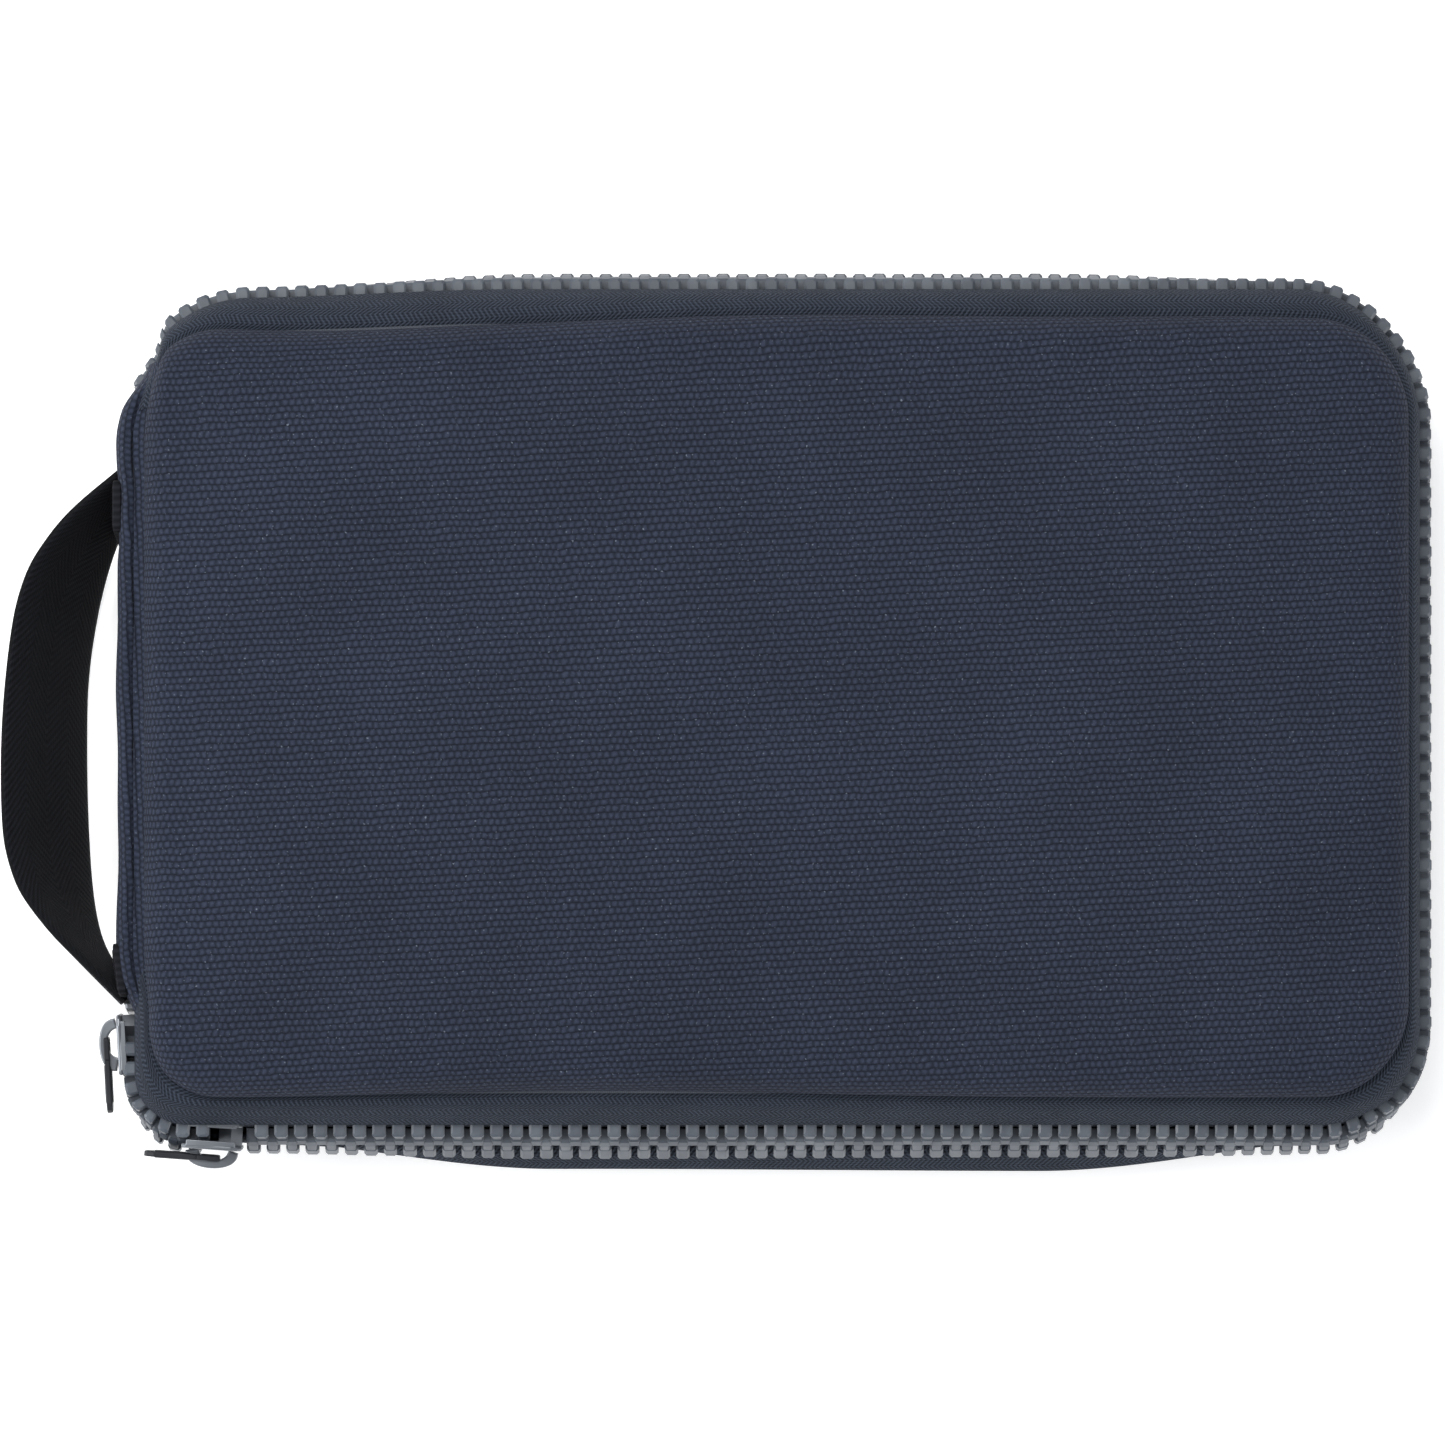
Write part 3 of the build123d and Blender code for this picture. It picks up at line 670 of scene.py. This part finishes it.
# ---------------------------------------------------------------- spine
def spine_section():
    """Outer face of the spine cloth in (x, z), from the front seam down to the back seam: a
    shallow valley beside the panel, a soft ridge, an upright face, and the same again below."""
    half = np.array([
        (FOLD_X + 2.2, 30.9), (FOLD_X + 0.8, 30.3), (FOLD_X - 0.6, 29.0), (FOLD_X - 1.5, 28.3),
        (FOLD_X - 2.5, 28.8), (FOLD_X - 3.4, 29.2), (SPINE_X + 1.0, 28.6), (SPINE_X + 0.25, 27.2),
        (SPINE_X, 25.0), (SPINE_X - 0.1, 21.5)])
    half[:, 1] -= CHAIN_Z
    both = np.concatenate([half, half[::-1] * [1, -1]])
    run = arc_lengths(both[None])[0]
    fine = np.linspace(0, run[-1], 73)
    smooth = np.stack([np.interp(fine, run, both[:, k]) for k in range(2)], -1)
    for _ in range(3):
        smooth[1:-1] = (smooth[:-2] + 2 * smooth[1:-1] + smooth[2:]) / 4
    return smooth + [0, CHAIN_Z]


def spine_grid(first, last):
    """Grid of the spine cloth between two rows of its section, along its length, with a few
    creases that fade toward the seams and a softened upper and lower end."""
    section = spine_section()[first:last + 1]
    y = np.linspace(SPINE_LOW - 5.6, SPINE_HIGH + 1.5, 150)
    x = section[:, :1] + 0 * y
    z = section[:, 1:] + 0 * y
    face = smoothstep(-x, -FOLD_X + 0.5, -FOLD_X + 4)
    crease = 0.30 * np.exp(-((y - 37) / 3.0) ** 2) + 0.22 * np.exp(-((y - 29) / 2.2) ** 2)
    crease = crease + 0.16 * np.sin(y / 7.5 + z / 6) + 0.10 * np.sin(y / 3.3 - z / 9)
    end = 1 - smoothstep(np.minimum(y - y[0], y[-1] - y), 0, 9)
    close = np.sign(CHAIN_Z - z) * smoothstep(np.abs(z - CHAIN_Z), 4, 10)
    return np.stack([x + face * (crease + 2.3 * end), y + 0 * x, z + close * face * 2.2 * end], -1)


spine_rows = len(spine_section())
fold_row = int(spine_rows * 0.14)
back_row = spine_rows - 1 - fold_row
middle_grid = spine_grid(fold_row, back_row)
spine_cloth = cloth_slab("spine_cloth", middle_grid, 1.0, canvas, "spine")
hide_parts("spine_panel")


for name, rows, body, a, b in (("front_fold", (0, fold_row), "front_cover", 28.6, 30.6),
                               ("back_fold", (back_row, spine_rows - 1), "back_shell", 7.4, 5.4)):
    fold = cloth_slab(name, spine_grid(*rows), 1.0, canvas)
    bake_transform(fold)
declare_sheet(spine_cloth)


# ---------------------------------------------------------------- handle
# The lying loop's outer and inner edge, each point as (x, y, z).
OUTER_EDGE = np.array([(-113.9, 43.4, 26.0), (-116.9, 41.0, 25.6), (-120.8, 37.9, 25.0), (-124.7, 34.1, 24.3),
                       (-129.7, 27.2, 22.9), (-132.1, 20.2, 22.0), (-133.2, 13.3, 21.4), (-134.0, 6.3, 21.1),
                       (-134.5, -0.6, 21.0), (-134.7, -7.5, 21.0), (-134.6, -14.5, 21.1), (-134.2, -21.4, 21.4),
                       (-131.8, -29.1, 22.1), (-126.6, -35.8, 23.2), (-120.2, -41.9, 24.2), (-115.6, -46.4, 24.6),
                       (-113.3, -48.6, 24.6)])
INNER_EDGE = np.array([(-113.7, 35.2, 7.5), (-116.2, 30.4, 4.4), (-118.0, 25.0, 2.6), (-119.4, 19.4, 1.5),
                       (-120.6, 12.6, 1.0), (-121.2, 7.4, 0.8), (-121.4, 3.9, 0.75), (-121.5, -4.6, 0.7),
                       (-121.4, -13.0, 0.7), (-121.1, -20.3, 0.9), (-120.7, -26.8, 1.3), (-120.0, -32.5, 2.4),
                       (-118.9, -37.2, 4.6), (-117.3, -40.6, 7.4), (-115.7, -43.0, 9.6), (-114.4, -44.6, 11.0),
                       (-113.4, -45.8, 12.0)])


def eased(points, count):
    """A list of points resampled evenly and smoothed into a fair curve."""
    points = points - (0, SIDE_SHIFT, 0)
    run = arc_lengths(points[None])[0]
    fine = np.linspace(0, run[-1], count)
    curve = np.stack([np.interp(fine, run, points[:, k]) for k in range(3)], -1)
    for _ in range(30):
        curve[1:-1] = (curve[:-2] + 2 * curve[1:-1] + curve[2:]) / 4
    return curve


def webbing_loop():
    """Closed webbing between the two edges: 25 points across each face, bowed by a half sine,
    1.8 thick, and thinner toward rounded selvedges. Also its cloth map and its middle grid."""
    outer, inner = eased(OUTER_EDGE, 170), eased(INNER_EDGE, 170)
    t = np.linspace(0, 1, 25)[None, :, None]
    middle = outer[:, None] * (1 - t) + inner[:, None] * t
    middle = middle + grid_normals(middle) * 0.5 * np.sin(pi * t)
    normals = grid_normals(middle)
    half = 0.9 * np.clip(1 - np.abs(2 * t - 1) ** 7, 0.12, 1) ** 0.5
    face, back = middle - normals * half, middle + normals * half
    ring = np.concatenate([face, back[:, ::-1]], 1)
    across = np.concatenate([t[0, :, 0], t[0, ::-1, 0] + 1.4]) * 25
    along = arc_lengths(np.swapaxes(middle, 0, 1)).mean(0)[:, None] + 0 * across
    n = ring.shape[1]
    faces = grid_faces(ring.shape[0], n, wrap=True)
    end = (ring.shape[0] - 1) * n
    for k in range(24):
        faces.append([k + 1, k, n - 1 - k, n - 2 - k][::-1])
        faces.append([end + k, end + k + 1, end + n - 2 - k, end + n - 1 - k][::-1])
    return ring, faces, np.stack([along, across + 0 * along], -1), middle


ring, faces, uv, strap_grid = webbing_loop()
handle = put_mesh("carry_handle", ring, faces, webbing, uv=uv)
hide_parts("handle_strap")
declare_sheet(handle)
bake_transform(handle)


# ---------------------------------------------------------------- bevelled solids
def prism(outline, low, high, rim):
    """Points (u, v, w) and faces of an outline drawn in (u, v), run from low to high along w,
    with its rims cut back by rim. The outline goes anticlockwise."""
    outline = np.asarray(outline, float)
    ahead, behind = np.roll(outline, -1, 0) - outline, outline - np.roll(outline, 1, 0)
    ahead /= np.linalg.norm(ahead, axis=1, keepdims=True)
    behind /= np.linalg.norm(behind, axis=1, keepdims=True)
    out = np.stack([(ahead + behind)[:, 1], -(ahead + behind)[:, 0]], -1)
    out /= np.maximum((np.linalg.norm(out, axis=1, keepdims=True) ** 2) / 2, 0.6)
    n = len(outline)
    levels = [(low, 1), (low + rim * 0.3, 0.3), (low + rim, 0),
              (high - rim, 0), (high - rim * 0.3, 0.3), (high, 1)]
    points = np.concatenate([np.column_stack([outline - out * rim * share, np.full(n, w)])
                             for w, share in levels])
    faces = grid_faces(len(levels), n, wrap=True)
    faces += [list(range(n - 1, -1, -1)), list(range((len(levels) - 1) * n, len(levels) * n))]
    return points, faces


def rounded_box(half_u, half_v, corner, steps=5):
    """Outline of a rectangle with rounded corners, anticlockwise round its own centre."""
    turn = np.radians(np.arange(4)[:, None] * 90 + np.linspace(0, 90, steps)[None])
    corners = np.array([(1, 1), (-1, 1), (-1, -1), (1, -1)]) * [half_u - corner, half_v - corner]
    return (corners[:, None] + corner * np.stack([np.cos(turn), np.sin(turn)], -1)).reshape(-1, 2)


def assemble(name, parts, origin, axes, material, body, *replaced, slot):
    """One object from several (points, faces, order), where order says which of the object's
    axes forward, up and outward the part's u, v and w run along."""
    verts, faces = [], []
    for points, part_faces, order in parts:
        way = np.array([axes[k] for k in order])
        base = sum(len(v) for v in verts)
        verts.append(points @ way + origin)
        turns = np.linalg.det(way) < 0
        faces += [[base + k for k in (face[::-1] if turns else face)] for face in part_faces]
    piece = put_mesh(name, np.concatenate(verts), faces, material, body, smooth=False)
    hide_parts(*replaced)


FUO, FOU = ("f", "u", "o"), ("f", "o", "u")


def slider_axes(forward, up, outward):
    """Unit axes of a slider: forward along its chain, up across it, and outward."""
    return {"f": np.array(forward, float), "u": np.array(up, float), "o": np.array(outward, float)}


def slider(size=1.0):
    """A slider's body and bridge: two flanged plates joined by a wedge at the nose, and an arched bridge over the
    outer plate, on which the pull's ring hangs. The pull itself comes from pull."""
    plate = np.array([(-5.2, -4.2), (-4.5, -4.9), (3.4, -5.5), (4.6, -5.1), (5.25, -4.0),
                      (5.25, 4.0), (4.6, 5.1), (3.4, 5.5), (-4.5, 4.9), (-5.2, 4.2)]) * size
    parts = [(*prism(plate, low * size, high * size, 0.3 * size), FUO)
             for low, high in ((1.8, 2.6), (-2.45, -1.5))]
    for side in (-1, 1):
        rail = np.array([(-4.4, side * 4.55), (4.2, side * 5.1)]) * size
        for low, high in ((1.1, 2.1), (-1.9, -1.2)):
            wall = rounded_box(4.3 * size, 0.42 * size, 0.2) + rail.mean(0)
            parts.append((*prism(wall, low * size, high * size, 0.12 * size), FUO))
    wedge = np.array([(5.1, -0.9), (5.1, 0.9), (3.2, 1.7), (1.0, 0.0), (3.2, -1.7)]) * size
    parts.append((*prism(wedge, -1.7 * size, 2.0 * size, 0.1), FUO))
    turn = np.linspace(0.03 * pi, 0.97 * pi, 21)
    outer = np.stack([4.6 * np.cos(turn), 2.3 + 3.7 * np.sin(turn) ** 0.6], -1)
    inner = np.stack([2.6 * np.cos(turn) + 0.3, 2.3 + 2.3 * np.sin(turn) ** 0.8], -1)
    arch = np.concatenate([outer, inner[::-1]]) * size
    bridge = [(*prism(arch, -1.35 * size, 1.35 * size, 0.28 * size), FOU)]
    return parts, bridge


def pull(size=1.0):
    """A pull that runs along -f from its pivot: a ring of four bars, a waist, and a blade with a
    blunt point, a raised rim and a sunk middle."""
    blade = np.array([(-12.6, -1.0), (-12.1, -1.9), (-10.8, -2.6), (-3.6, -2.6), (-2.6, -2.0),
                      (-2.6, 2.0), (-3.6, 2.6), (-10.8, 2.6), (-12.1, 1.9), (-12.6, 1.0)]) * size
    parts = [(*prism(blade, -0.5 * size, 0.5 * size, 0.22 * size), FUO)]
    rim = rounded_box(3.5 * size, 1.55 * size, 0.7) + np.array([-7.3, 0]) * size
    parts.append((*prism(rim, -0.66 * size, 0.66 * size, 0.14 * size), FUO))
    for side in (-1, 1):
        arm = rounded_box(2.0 * size, 0.48 * size, 0.3) + np.array([-1.0, side * 1.95]) * size
        parts.append((*prism(arm, -0.5 * size, 0.5 * size, 0.2 * size), FUO))
    bar = rounded_box(0.45 * size, 2.35 * size, 0.3) + np.array([0.75, 0]) * size
    parts.append((*prism(bar, -0.45 * size, 0.45 * size, 0.2 * size), FUO))
    return parts


def turned(axes, angle):
    """The axes turned about Z by an angle in degrees."""
    c, s = np.cos(radians(angle)), np.sin(radians(angle))
    turn = np.array([[c, -s, 0], [s, c, 0], [0, 0, 1.0]])
    return {key: turn @ axis for key, axis in axes.items()}


slider_a_axes = turned(slider_axes((0, 1, 0), (0, 0, 1), (-1, 0, 0)), 3)
slider_b_axes = turned(slider_axes((1, 0, 0), (0, 0, 1), (0, -1, 0)), -4)
pivots = {joint["child"]: np.array(joint["pos_m"]) / MM for joint in frame["joints"] if "pos_m" in joint}
for tag, centre, axes in (("a", SLIDER_A, slider_a_axes), ("b", SLIDER_B, slider_b_axes)):
    origin = lay(np.array([centre[0], centre[1], CHAIN_Z]))[0]
    hang = np.array([*pivots[f"slider_{tag}_pull"][:2], CHAIN_Z])
    for part, node, parts in zip(("plates", "arch"), ("body", "bridge"), slider()):
        assemble(f"slider_{tag}_{part}", parts, origin, axes, slider_metal, f"slider_{tag}",
                 f"slider_{tag}_{node}", slot="slider_metal")
    assemble(f"slider_{tag}_tab", pull(0.95), hang, axes, pull_metal, f"slider_{tag}_pull",
             f"slider_{tag}_pull", slot="pull_metal")


# ---------------------------------------------------------------- lining and pockets
def lining_grid(seam, height, way):
    """Lining under a panel's padding, at this height from the seam's plane, which curls down to
    the seam round its edge by a smooth step 4 mm wide."""
    half_x, half_y = PANEL_X - EDGE_IN, PANEL_Y - EDGE_IN
    y = spread_rows(half_y, 10, 4.0, 2.6)[:, None]
    u = spread_rows(half_x, 10, 4.0, 2.6)[None, :] / half_x
    r = max(PANEL_RADII)
    x, y = rounded_plan(half_x, half_y, y, u, r)
    d = np.maximum(edge_distance(x, y, PANEL_X, PANEL_Y, r) - EDGE_IN, 0)
    return np.stack([x, y, seam + way * (height * smoothstep(d, 0.0, 4.0) - 0.03)], -1)


for node, grid, way, body, under in (
        ("front_lining", lining_grid(SEAM_FRONT, TOP - SEAM_FRONT - PAD, 1), 1, "front_cover", front_canvas),
        ("back_lining", lining_grid(SEAM_BACK, BACK_RISE - BACK_PAD, -1), -1, "back_shell", back_canvas),
        ("spine_lining", (middle_grid - 1.1 * grid_normals(middle_grid))[:, 3:-3], 1, "spine", spine_cloth)):
    piece = cloth_slab(node.replace("_", "_inner_"), grid, 0.5, lining_cloth, body, side=way)
    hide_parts(node)
    declare_sheet(piece)


STITCH, STITCH_GAP, THREAD_RADIUS = 2.6, 0.9, 0.16


def stitches(name, points, body):
    """A row of thread stitches along a line: short six-sided slugs with pointed ends."""
    run = arc_lengths(points[None])[0]
    centre = np.arange(STITCH, run[-1] - STITCH / 2, STITCH + STITCH_GAP)
    place = [np.stack([np.interp(centre + s, run, points[:, k]) for k in range(3)], -1)
             for s in (-STITCH / 2, 0, STITCH / 2)]
    forward = place[2] - place[0]
    forward /= np.linalg.norm(forward, axis=1, keepdims=True)
    up = np.zeros_like(forward) + (0, 0, 1.0)
    side = np.cross(forward, up)
    turn = np.arange(6) * pi / 3
    rings = []
    for share, r in ((-0.5, 0.3), (-0.32, 1.0), (0.32, 1.0), (0.5, 0.3)):
        middle = place[1] + forward * STITCH * share
        circle = np.cos(turn)[None, :, None] * side[:, None] + np.sin(turn)[None, :, None] * up[:, None]
        rings.append(middle[:, None] + THREAD_RADIUS * r * circle)
    points = np.stack(rings, 1).reshape(-1, 3)
    one = grid_faces(4, 6, wrap=True, flip=True) + [[0, 1, 2, 3, 4, 5], [23, 22, 21, 20, 19, 18]]
    return put_mesh(name, lay(points), repeated(one, 24, len(centre)), thread, body)


SEWN_IN = 1.4               # the pockets' stitching lies this far inside their edges
HEM = 4.2                   # and this much further in along a mouth


def pocket(name, node, body, way, mouth, thickness):
    """A cloth pocket over its CAD node's box, facing way in Z. Its sides are sewn down, and the
    cloth stands off in the middle and at its mouth, which has a folded hem."""
    low, high = box_mm(node)
    base = low[2] if way > 0 else high[2]
    depth = high[2] - low[2] - thickness
    x, y = np.meshgrid(np.linspace(low[0], high[0], 90), np.linspace(low[1], high[1], 60))
    sides = {"-x": x - low[0], "+x": high[0] - x, "-y": y - low[1], "+y": high[1] - y}
    open_side = sides.pop(mouth) if mouth else None
    near = np.minimum.reduce(list(sides.values()))
    stand = 0.06 + 0.94 * smoothstep(near, 0.5, 9)
    ripple = 0.10 * np.sin(x / 13 + y / 29) * np.sin(y / 11) * smoothstep(near, 3, 15)
    hem = 0.0 if open_side is None else 0.22 * (1 - smoothstep(open_side, 6.0, 6.8))
    z = base + way * np.clip(thickness + depth * stand + ripple - 0.25 + hem, thickness, thickness + depth)
    grid = np.stack([x, y, z], -1)
    piece = cloth_slab(name, grid, thickness * 0.9, pocket_cloth, body, side=-way)
    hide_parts(node)
    near_x, near_y = low[:2] + SEWN_IN
    far_x, far_y = high[:2] - SEWN_IN
    seams = {"-x": ((near_x, near_y), (near_x, far_y), (HEM, 0)),
             "+x": ((far_x, near_y), (far_x, far_y), (-HEM, 0)),
             "-y": ((near_x, near_y), (far_x, near_y), (0, HEM)),
             "+y": ((near_x, far_y), (far_x, far_y), (0, -HEM))}
    for k, (side, (a, b, step)) in enumerate(seams.items()):
        line = np.array(a) + (np.array(b) - np.array(a)) * np.linspace(0, 1, 120)[:, None]
        if side == mouth:
            line = line + step
        column, row = np.rint((line - low[:2]) / (high[:2] - low[:2]) * (89, 59)).astype(int).T
        points = np.column_stack([line, z[row, column] + way * 0.06])
        stitches(f"{name}_stitch_{k}", points, body)
    declare_sheet(piece)


pocket("ticket_pocket", "ticket_sleeve", "back_shell", 1, "+x", 0.7)
pocket("passport_sleeve", "passport_pocket", "back_shell", 1, "-x", 0.8)
pocket("zip_pocket_face", "zip_pocket_panel", "front_cover", -1, None, 0.6)
pocket("zip_pocket_header", "zip_pocket_top", "front_cover", -1, None, 0.6)
for k in range(1, 5):
    pocket(f"card_pocket_{k}", f"card_slot_{k}", "front_cover", -1, "+y", 0.6)


# ---------------------------------------------------------------- pocket zip
for node in ("inner_tape_lower", "inner_tape_upper"):
    low, high = box_mm(node)
    x, y = np.meshgrid(np.linspace(low[0], high[0], 120), np.linspace(low[1], high[1], 8))
    z = low[2] + 0.06 + 0.05 * np.sin(x / 9) + 0 * y
    tape = cloth_slab(node.replace("inner", "pocket"), np.stack([x, y, z], -1), 0.5, zip_tape, "front_cover")
    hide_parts(node)


COIL_PITCH = 1.25


def coil_rows(node):
    """Two facing rows of zip coil: each loop is a short bent tube of five rings of six points,
    from the tape's edge round to a nose that reaches past the middle."""
    low, high = box_mm(node)
    middle = (low[1] + high[1]) / 2
    count = int((high[0] - low[0]) / COIL_PITCH)
    turn = np.arange(6) * pi / 3
    path = np.array([(1.55, -0.42), (0.55, -0.46), (-0.42, -0.18), (-0.42, 0.22), (0.55, 0.46), (1.55, 0.42)])
    points = []
    for side in (-1, 1):
        x = low[0] + COIL_PITCH * (np.arange(count) + (0.5 if side > 0 else 1.0))
        centre = np.stack([x[:, None] + 0 * path[:, 0], middle + side * (path[:, 0] + 0.1) + 0 * x[:, None],
                           low[2] + 0.4 + path[:, 1] * 0.8 + 0 * x[:, None]], -1)
        ring = np.stack([0.30 * np.cos(turn), 0 * turn, 0.22 * np.sin(turn)], -1)
        swing = np.stack([0 * turn, 0.16 * np.sin(turn), 0 * turn], -1)
        points.append((centre[:, :, None] + ring + swing).reshape(-1, 3))
    one = grid_faces(6, 6, wrap=True) + [[5, 4, 3, 2, 1, 0], [30, 31, 32, 33, 34, 35]]
    return np.concatenate(points), repeated(one, 36, 2 * count)


points, faces = coil_rows("inner_coil")
coil = put_mesh("pocket_zip_coil", lay(points), faces, coil_nylon, "front_cover")
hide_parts("inner_coil")

low, high = box_mm("inner_slider_body")
size = (high[0] - low[0]) / 10.5
axes = slider_axes((1, 0, 0), (0, 1, 0), (0, 0, -1))
origin = lay((low + high) / 2)[0]
for part, parts in zip(("body", "bridge"), slider(size)):
    assemble(f"pocket_slider_{part}", parts, origin, axes, slider_metal, "inner_slider",
             f"inner_slider_{part}", slot="slider_metal")
pivot = pivots["inner_slider_pull"]
assemble("pocket_slider_pull", pull(size), np.array([pivot[0], origin[1], pivot[2]]), axes, pull_metal,
         "inner_slider_pull", "inner_slider_pull", slot="pull_metal")


# ---------------------------------------------------------------- handle tabs, tacks and zip stop
tacks = []
for end in ("upper", "lower"):
    low, high = box_mm("handle_root_" + end)
    middle, half = (low + high) / 2, (high - low) / 2
    outline = rounded_box(half[1], half[2], 1.2)
    flat, faces = prism(outline, -0.9, 0.6, 0.25)
    points = np.column_stack([SPINE_X - flat[:, 2], middle[1] - flat[:, 0], middle[2] + flat[:, 1]])
    tab = put_mesh(f"handle_tab_{end}", lay(points), faces, webbing, "spine", uv=flat[:, :2])
    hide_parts("handle_root_" + end)
    for level in (-1, 1):
        k = np.arange(19)
        zigzag = np.column_stack([0 * k + SPINE_X - 0.68, middle[1] - 3.4 + k * 6.8 / 18,
                                  middle[2] + level * (half[2] - 2.4) + 0.9 * (k % 2 - 0.5)])
        tacks.append(zigzag)
all_points, all_faces = [], []
for zigzag in tacks:
    for a, b in zip(zigzag[:-1], zigzag[1:]):
        along = (b - a) / np.linalg.norm(b - a)
        side = np.cross(along, (-1.0, 0, 0))
        turn = np.arange(6) * pi / 3
        circle = 0.17 * (np.cos(turn)[:, None] * side + np.sin(turn)[:, None] * np.array((-1.0, 0, 0)))
        base = len(all_points) * 12
        all_points.append(np.concatenate([a + circle, b + circle]))
        all_faces += [[base + k, base + (k + 1) % 6, base + 6 + (k + 1) % 6, base + 6 + k] for k in range(6)]
        all_faces += [[base + k for k in range(5, -1, -1)], [base + 6 + k for k in range(6)]]
bars = put_mesh("tack_threads", lay(np.concatenate(all_points)), all_faces, thread, "spine")
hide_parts("bar_tacks")

low, high = box_mm("zip_stop")
half = (high - low) / 2
flat, faces = prism(rounded_box(half[0], half[2], min(half[0], half[2]) * 0.45), -half[1], half[1], 0.25)
points = (low + high) / 2 + np.column_stack([flat[:, 0], -flat[:, 2], flat[:, 1]])
stop = put_mesh("zip_end_stop", lay(points), faces, slider_metal, "spine", smooth=False)
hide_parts("zip_stop")


# ---------------------------------------------------------------- materials on what stays
finishes = {"canvas": canvas, "webbing": webbing, "zip_tape": zip_tape, "teeth": tooth_plastic,
            "coil": coil_nylon, "slider_metal": slider_metal, "pull_metal": pull_metal,
            "lining": lining_cloth, "pocket_cloth": pocket_cloth, "padding": lining_cloth, "thread": thread}
for part in frame["record"]["subparts"]:
    mesh = frame["nodes"][part["node"]].data
    mesh.materials.clear()
    mesh.materials.append(finishes[part["material_slot"]])


# ---------------------------------------------------------------- floor, light and camera
def area_light(name, place, aim, width, height, power, colour):
    """A soft rectangular lamp at a place, turned to face a point."""
    data = bpy.data.lights.new(name, "AREA")
    data.shape, data.size, data.size_y = "RECTANGLE", width, height
    data.energy, data.color = power, colour
    lamp = bpy.data.objects.new(name, data)
    bpy.context.scene.collection.objects.link(lamp)
    lamp.location = place
    away = Vector(place) - Vector(aim)
    lamp.rotation_euler = away.to_track_quat("Z", "Y").to_euler()


floor_paint, nodes, links, shader = new_material("white floor", (0.92, 0.92, 0.92), 0.9)
shader.inputs["Emission Color"].default_value = (1, 1, 1, 1)
shader.inputs["Emission Strength"].default_value = 0.3
FLOOR = 1500
corners = [(-FLOOR, -FLOOR, 0), (FLOOR, -FLOOR, 0), (FLOOR, FLOOR, 0), (-FLOOR, FLOOR, 0)]
put_mesh("floor", corners, [[0, 1, 2, 3]], floor_paint, smooth=False)

world = bpy.data.worlds.new("studio")
world.use_nodes = True
world.node_tree.nodes["Background"].inputs["Color"].default_value = (0.96, 0.98, 1.0, 1)
world.node_tree.nodes["Background"].inputs["Strength"].default_value = 0.62
scene = bpy.context.scene
scene.world = world
area_light("high softbox", (-0.25, 0.45, 0.95), (0, 0, 0), 0.7, 0.5, 9.0, (1, 0.99, 0.98))
area_light("left softbox", (-0.95, -0.15, 0.55), (-0.05, 0, 0.02), 0.5, 0.5, 7.0, (0.98, 0.99, 1))
area_light("right softbox", (0.9, -0.4, 0.5), (0.05, 0, 0.02), 0.5, 0.5, 4.0, (1, 1, 1))
scene.view_settings.view_transform = "Standard"

camera_data = bpy.data.cameras.new("overhead camera")
camera = bpy.data.objects.new("overhead camera", camera_data)
scene.collection.objects.link(camera)
DISTANCE, VIEW_WIDTH = 1.7, 0.2507
SENSOR = 36
camera.location = (-0.0099, -0.0002 - SIDE_SHIFT * MM, DISTANCE + CHAIN_Z * MM)
camera_data.sensor_width = SENSOR
camera_data.lens = SENSOR * DISTANCE / VIEW_WIDTH
camera_data.clip_start, camera_data.clip_end = 0.1, 10
scene.camera = camera
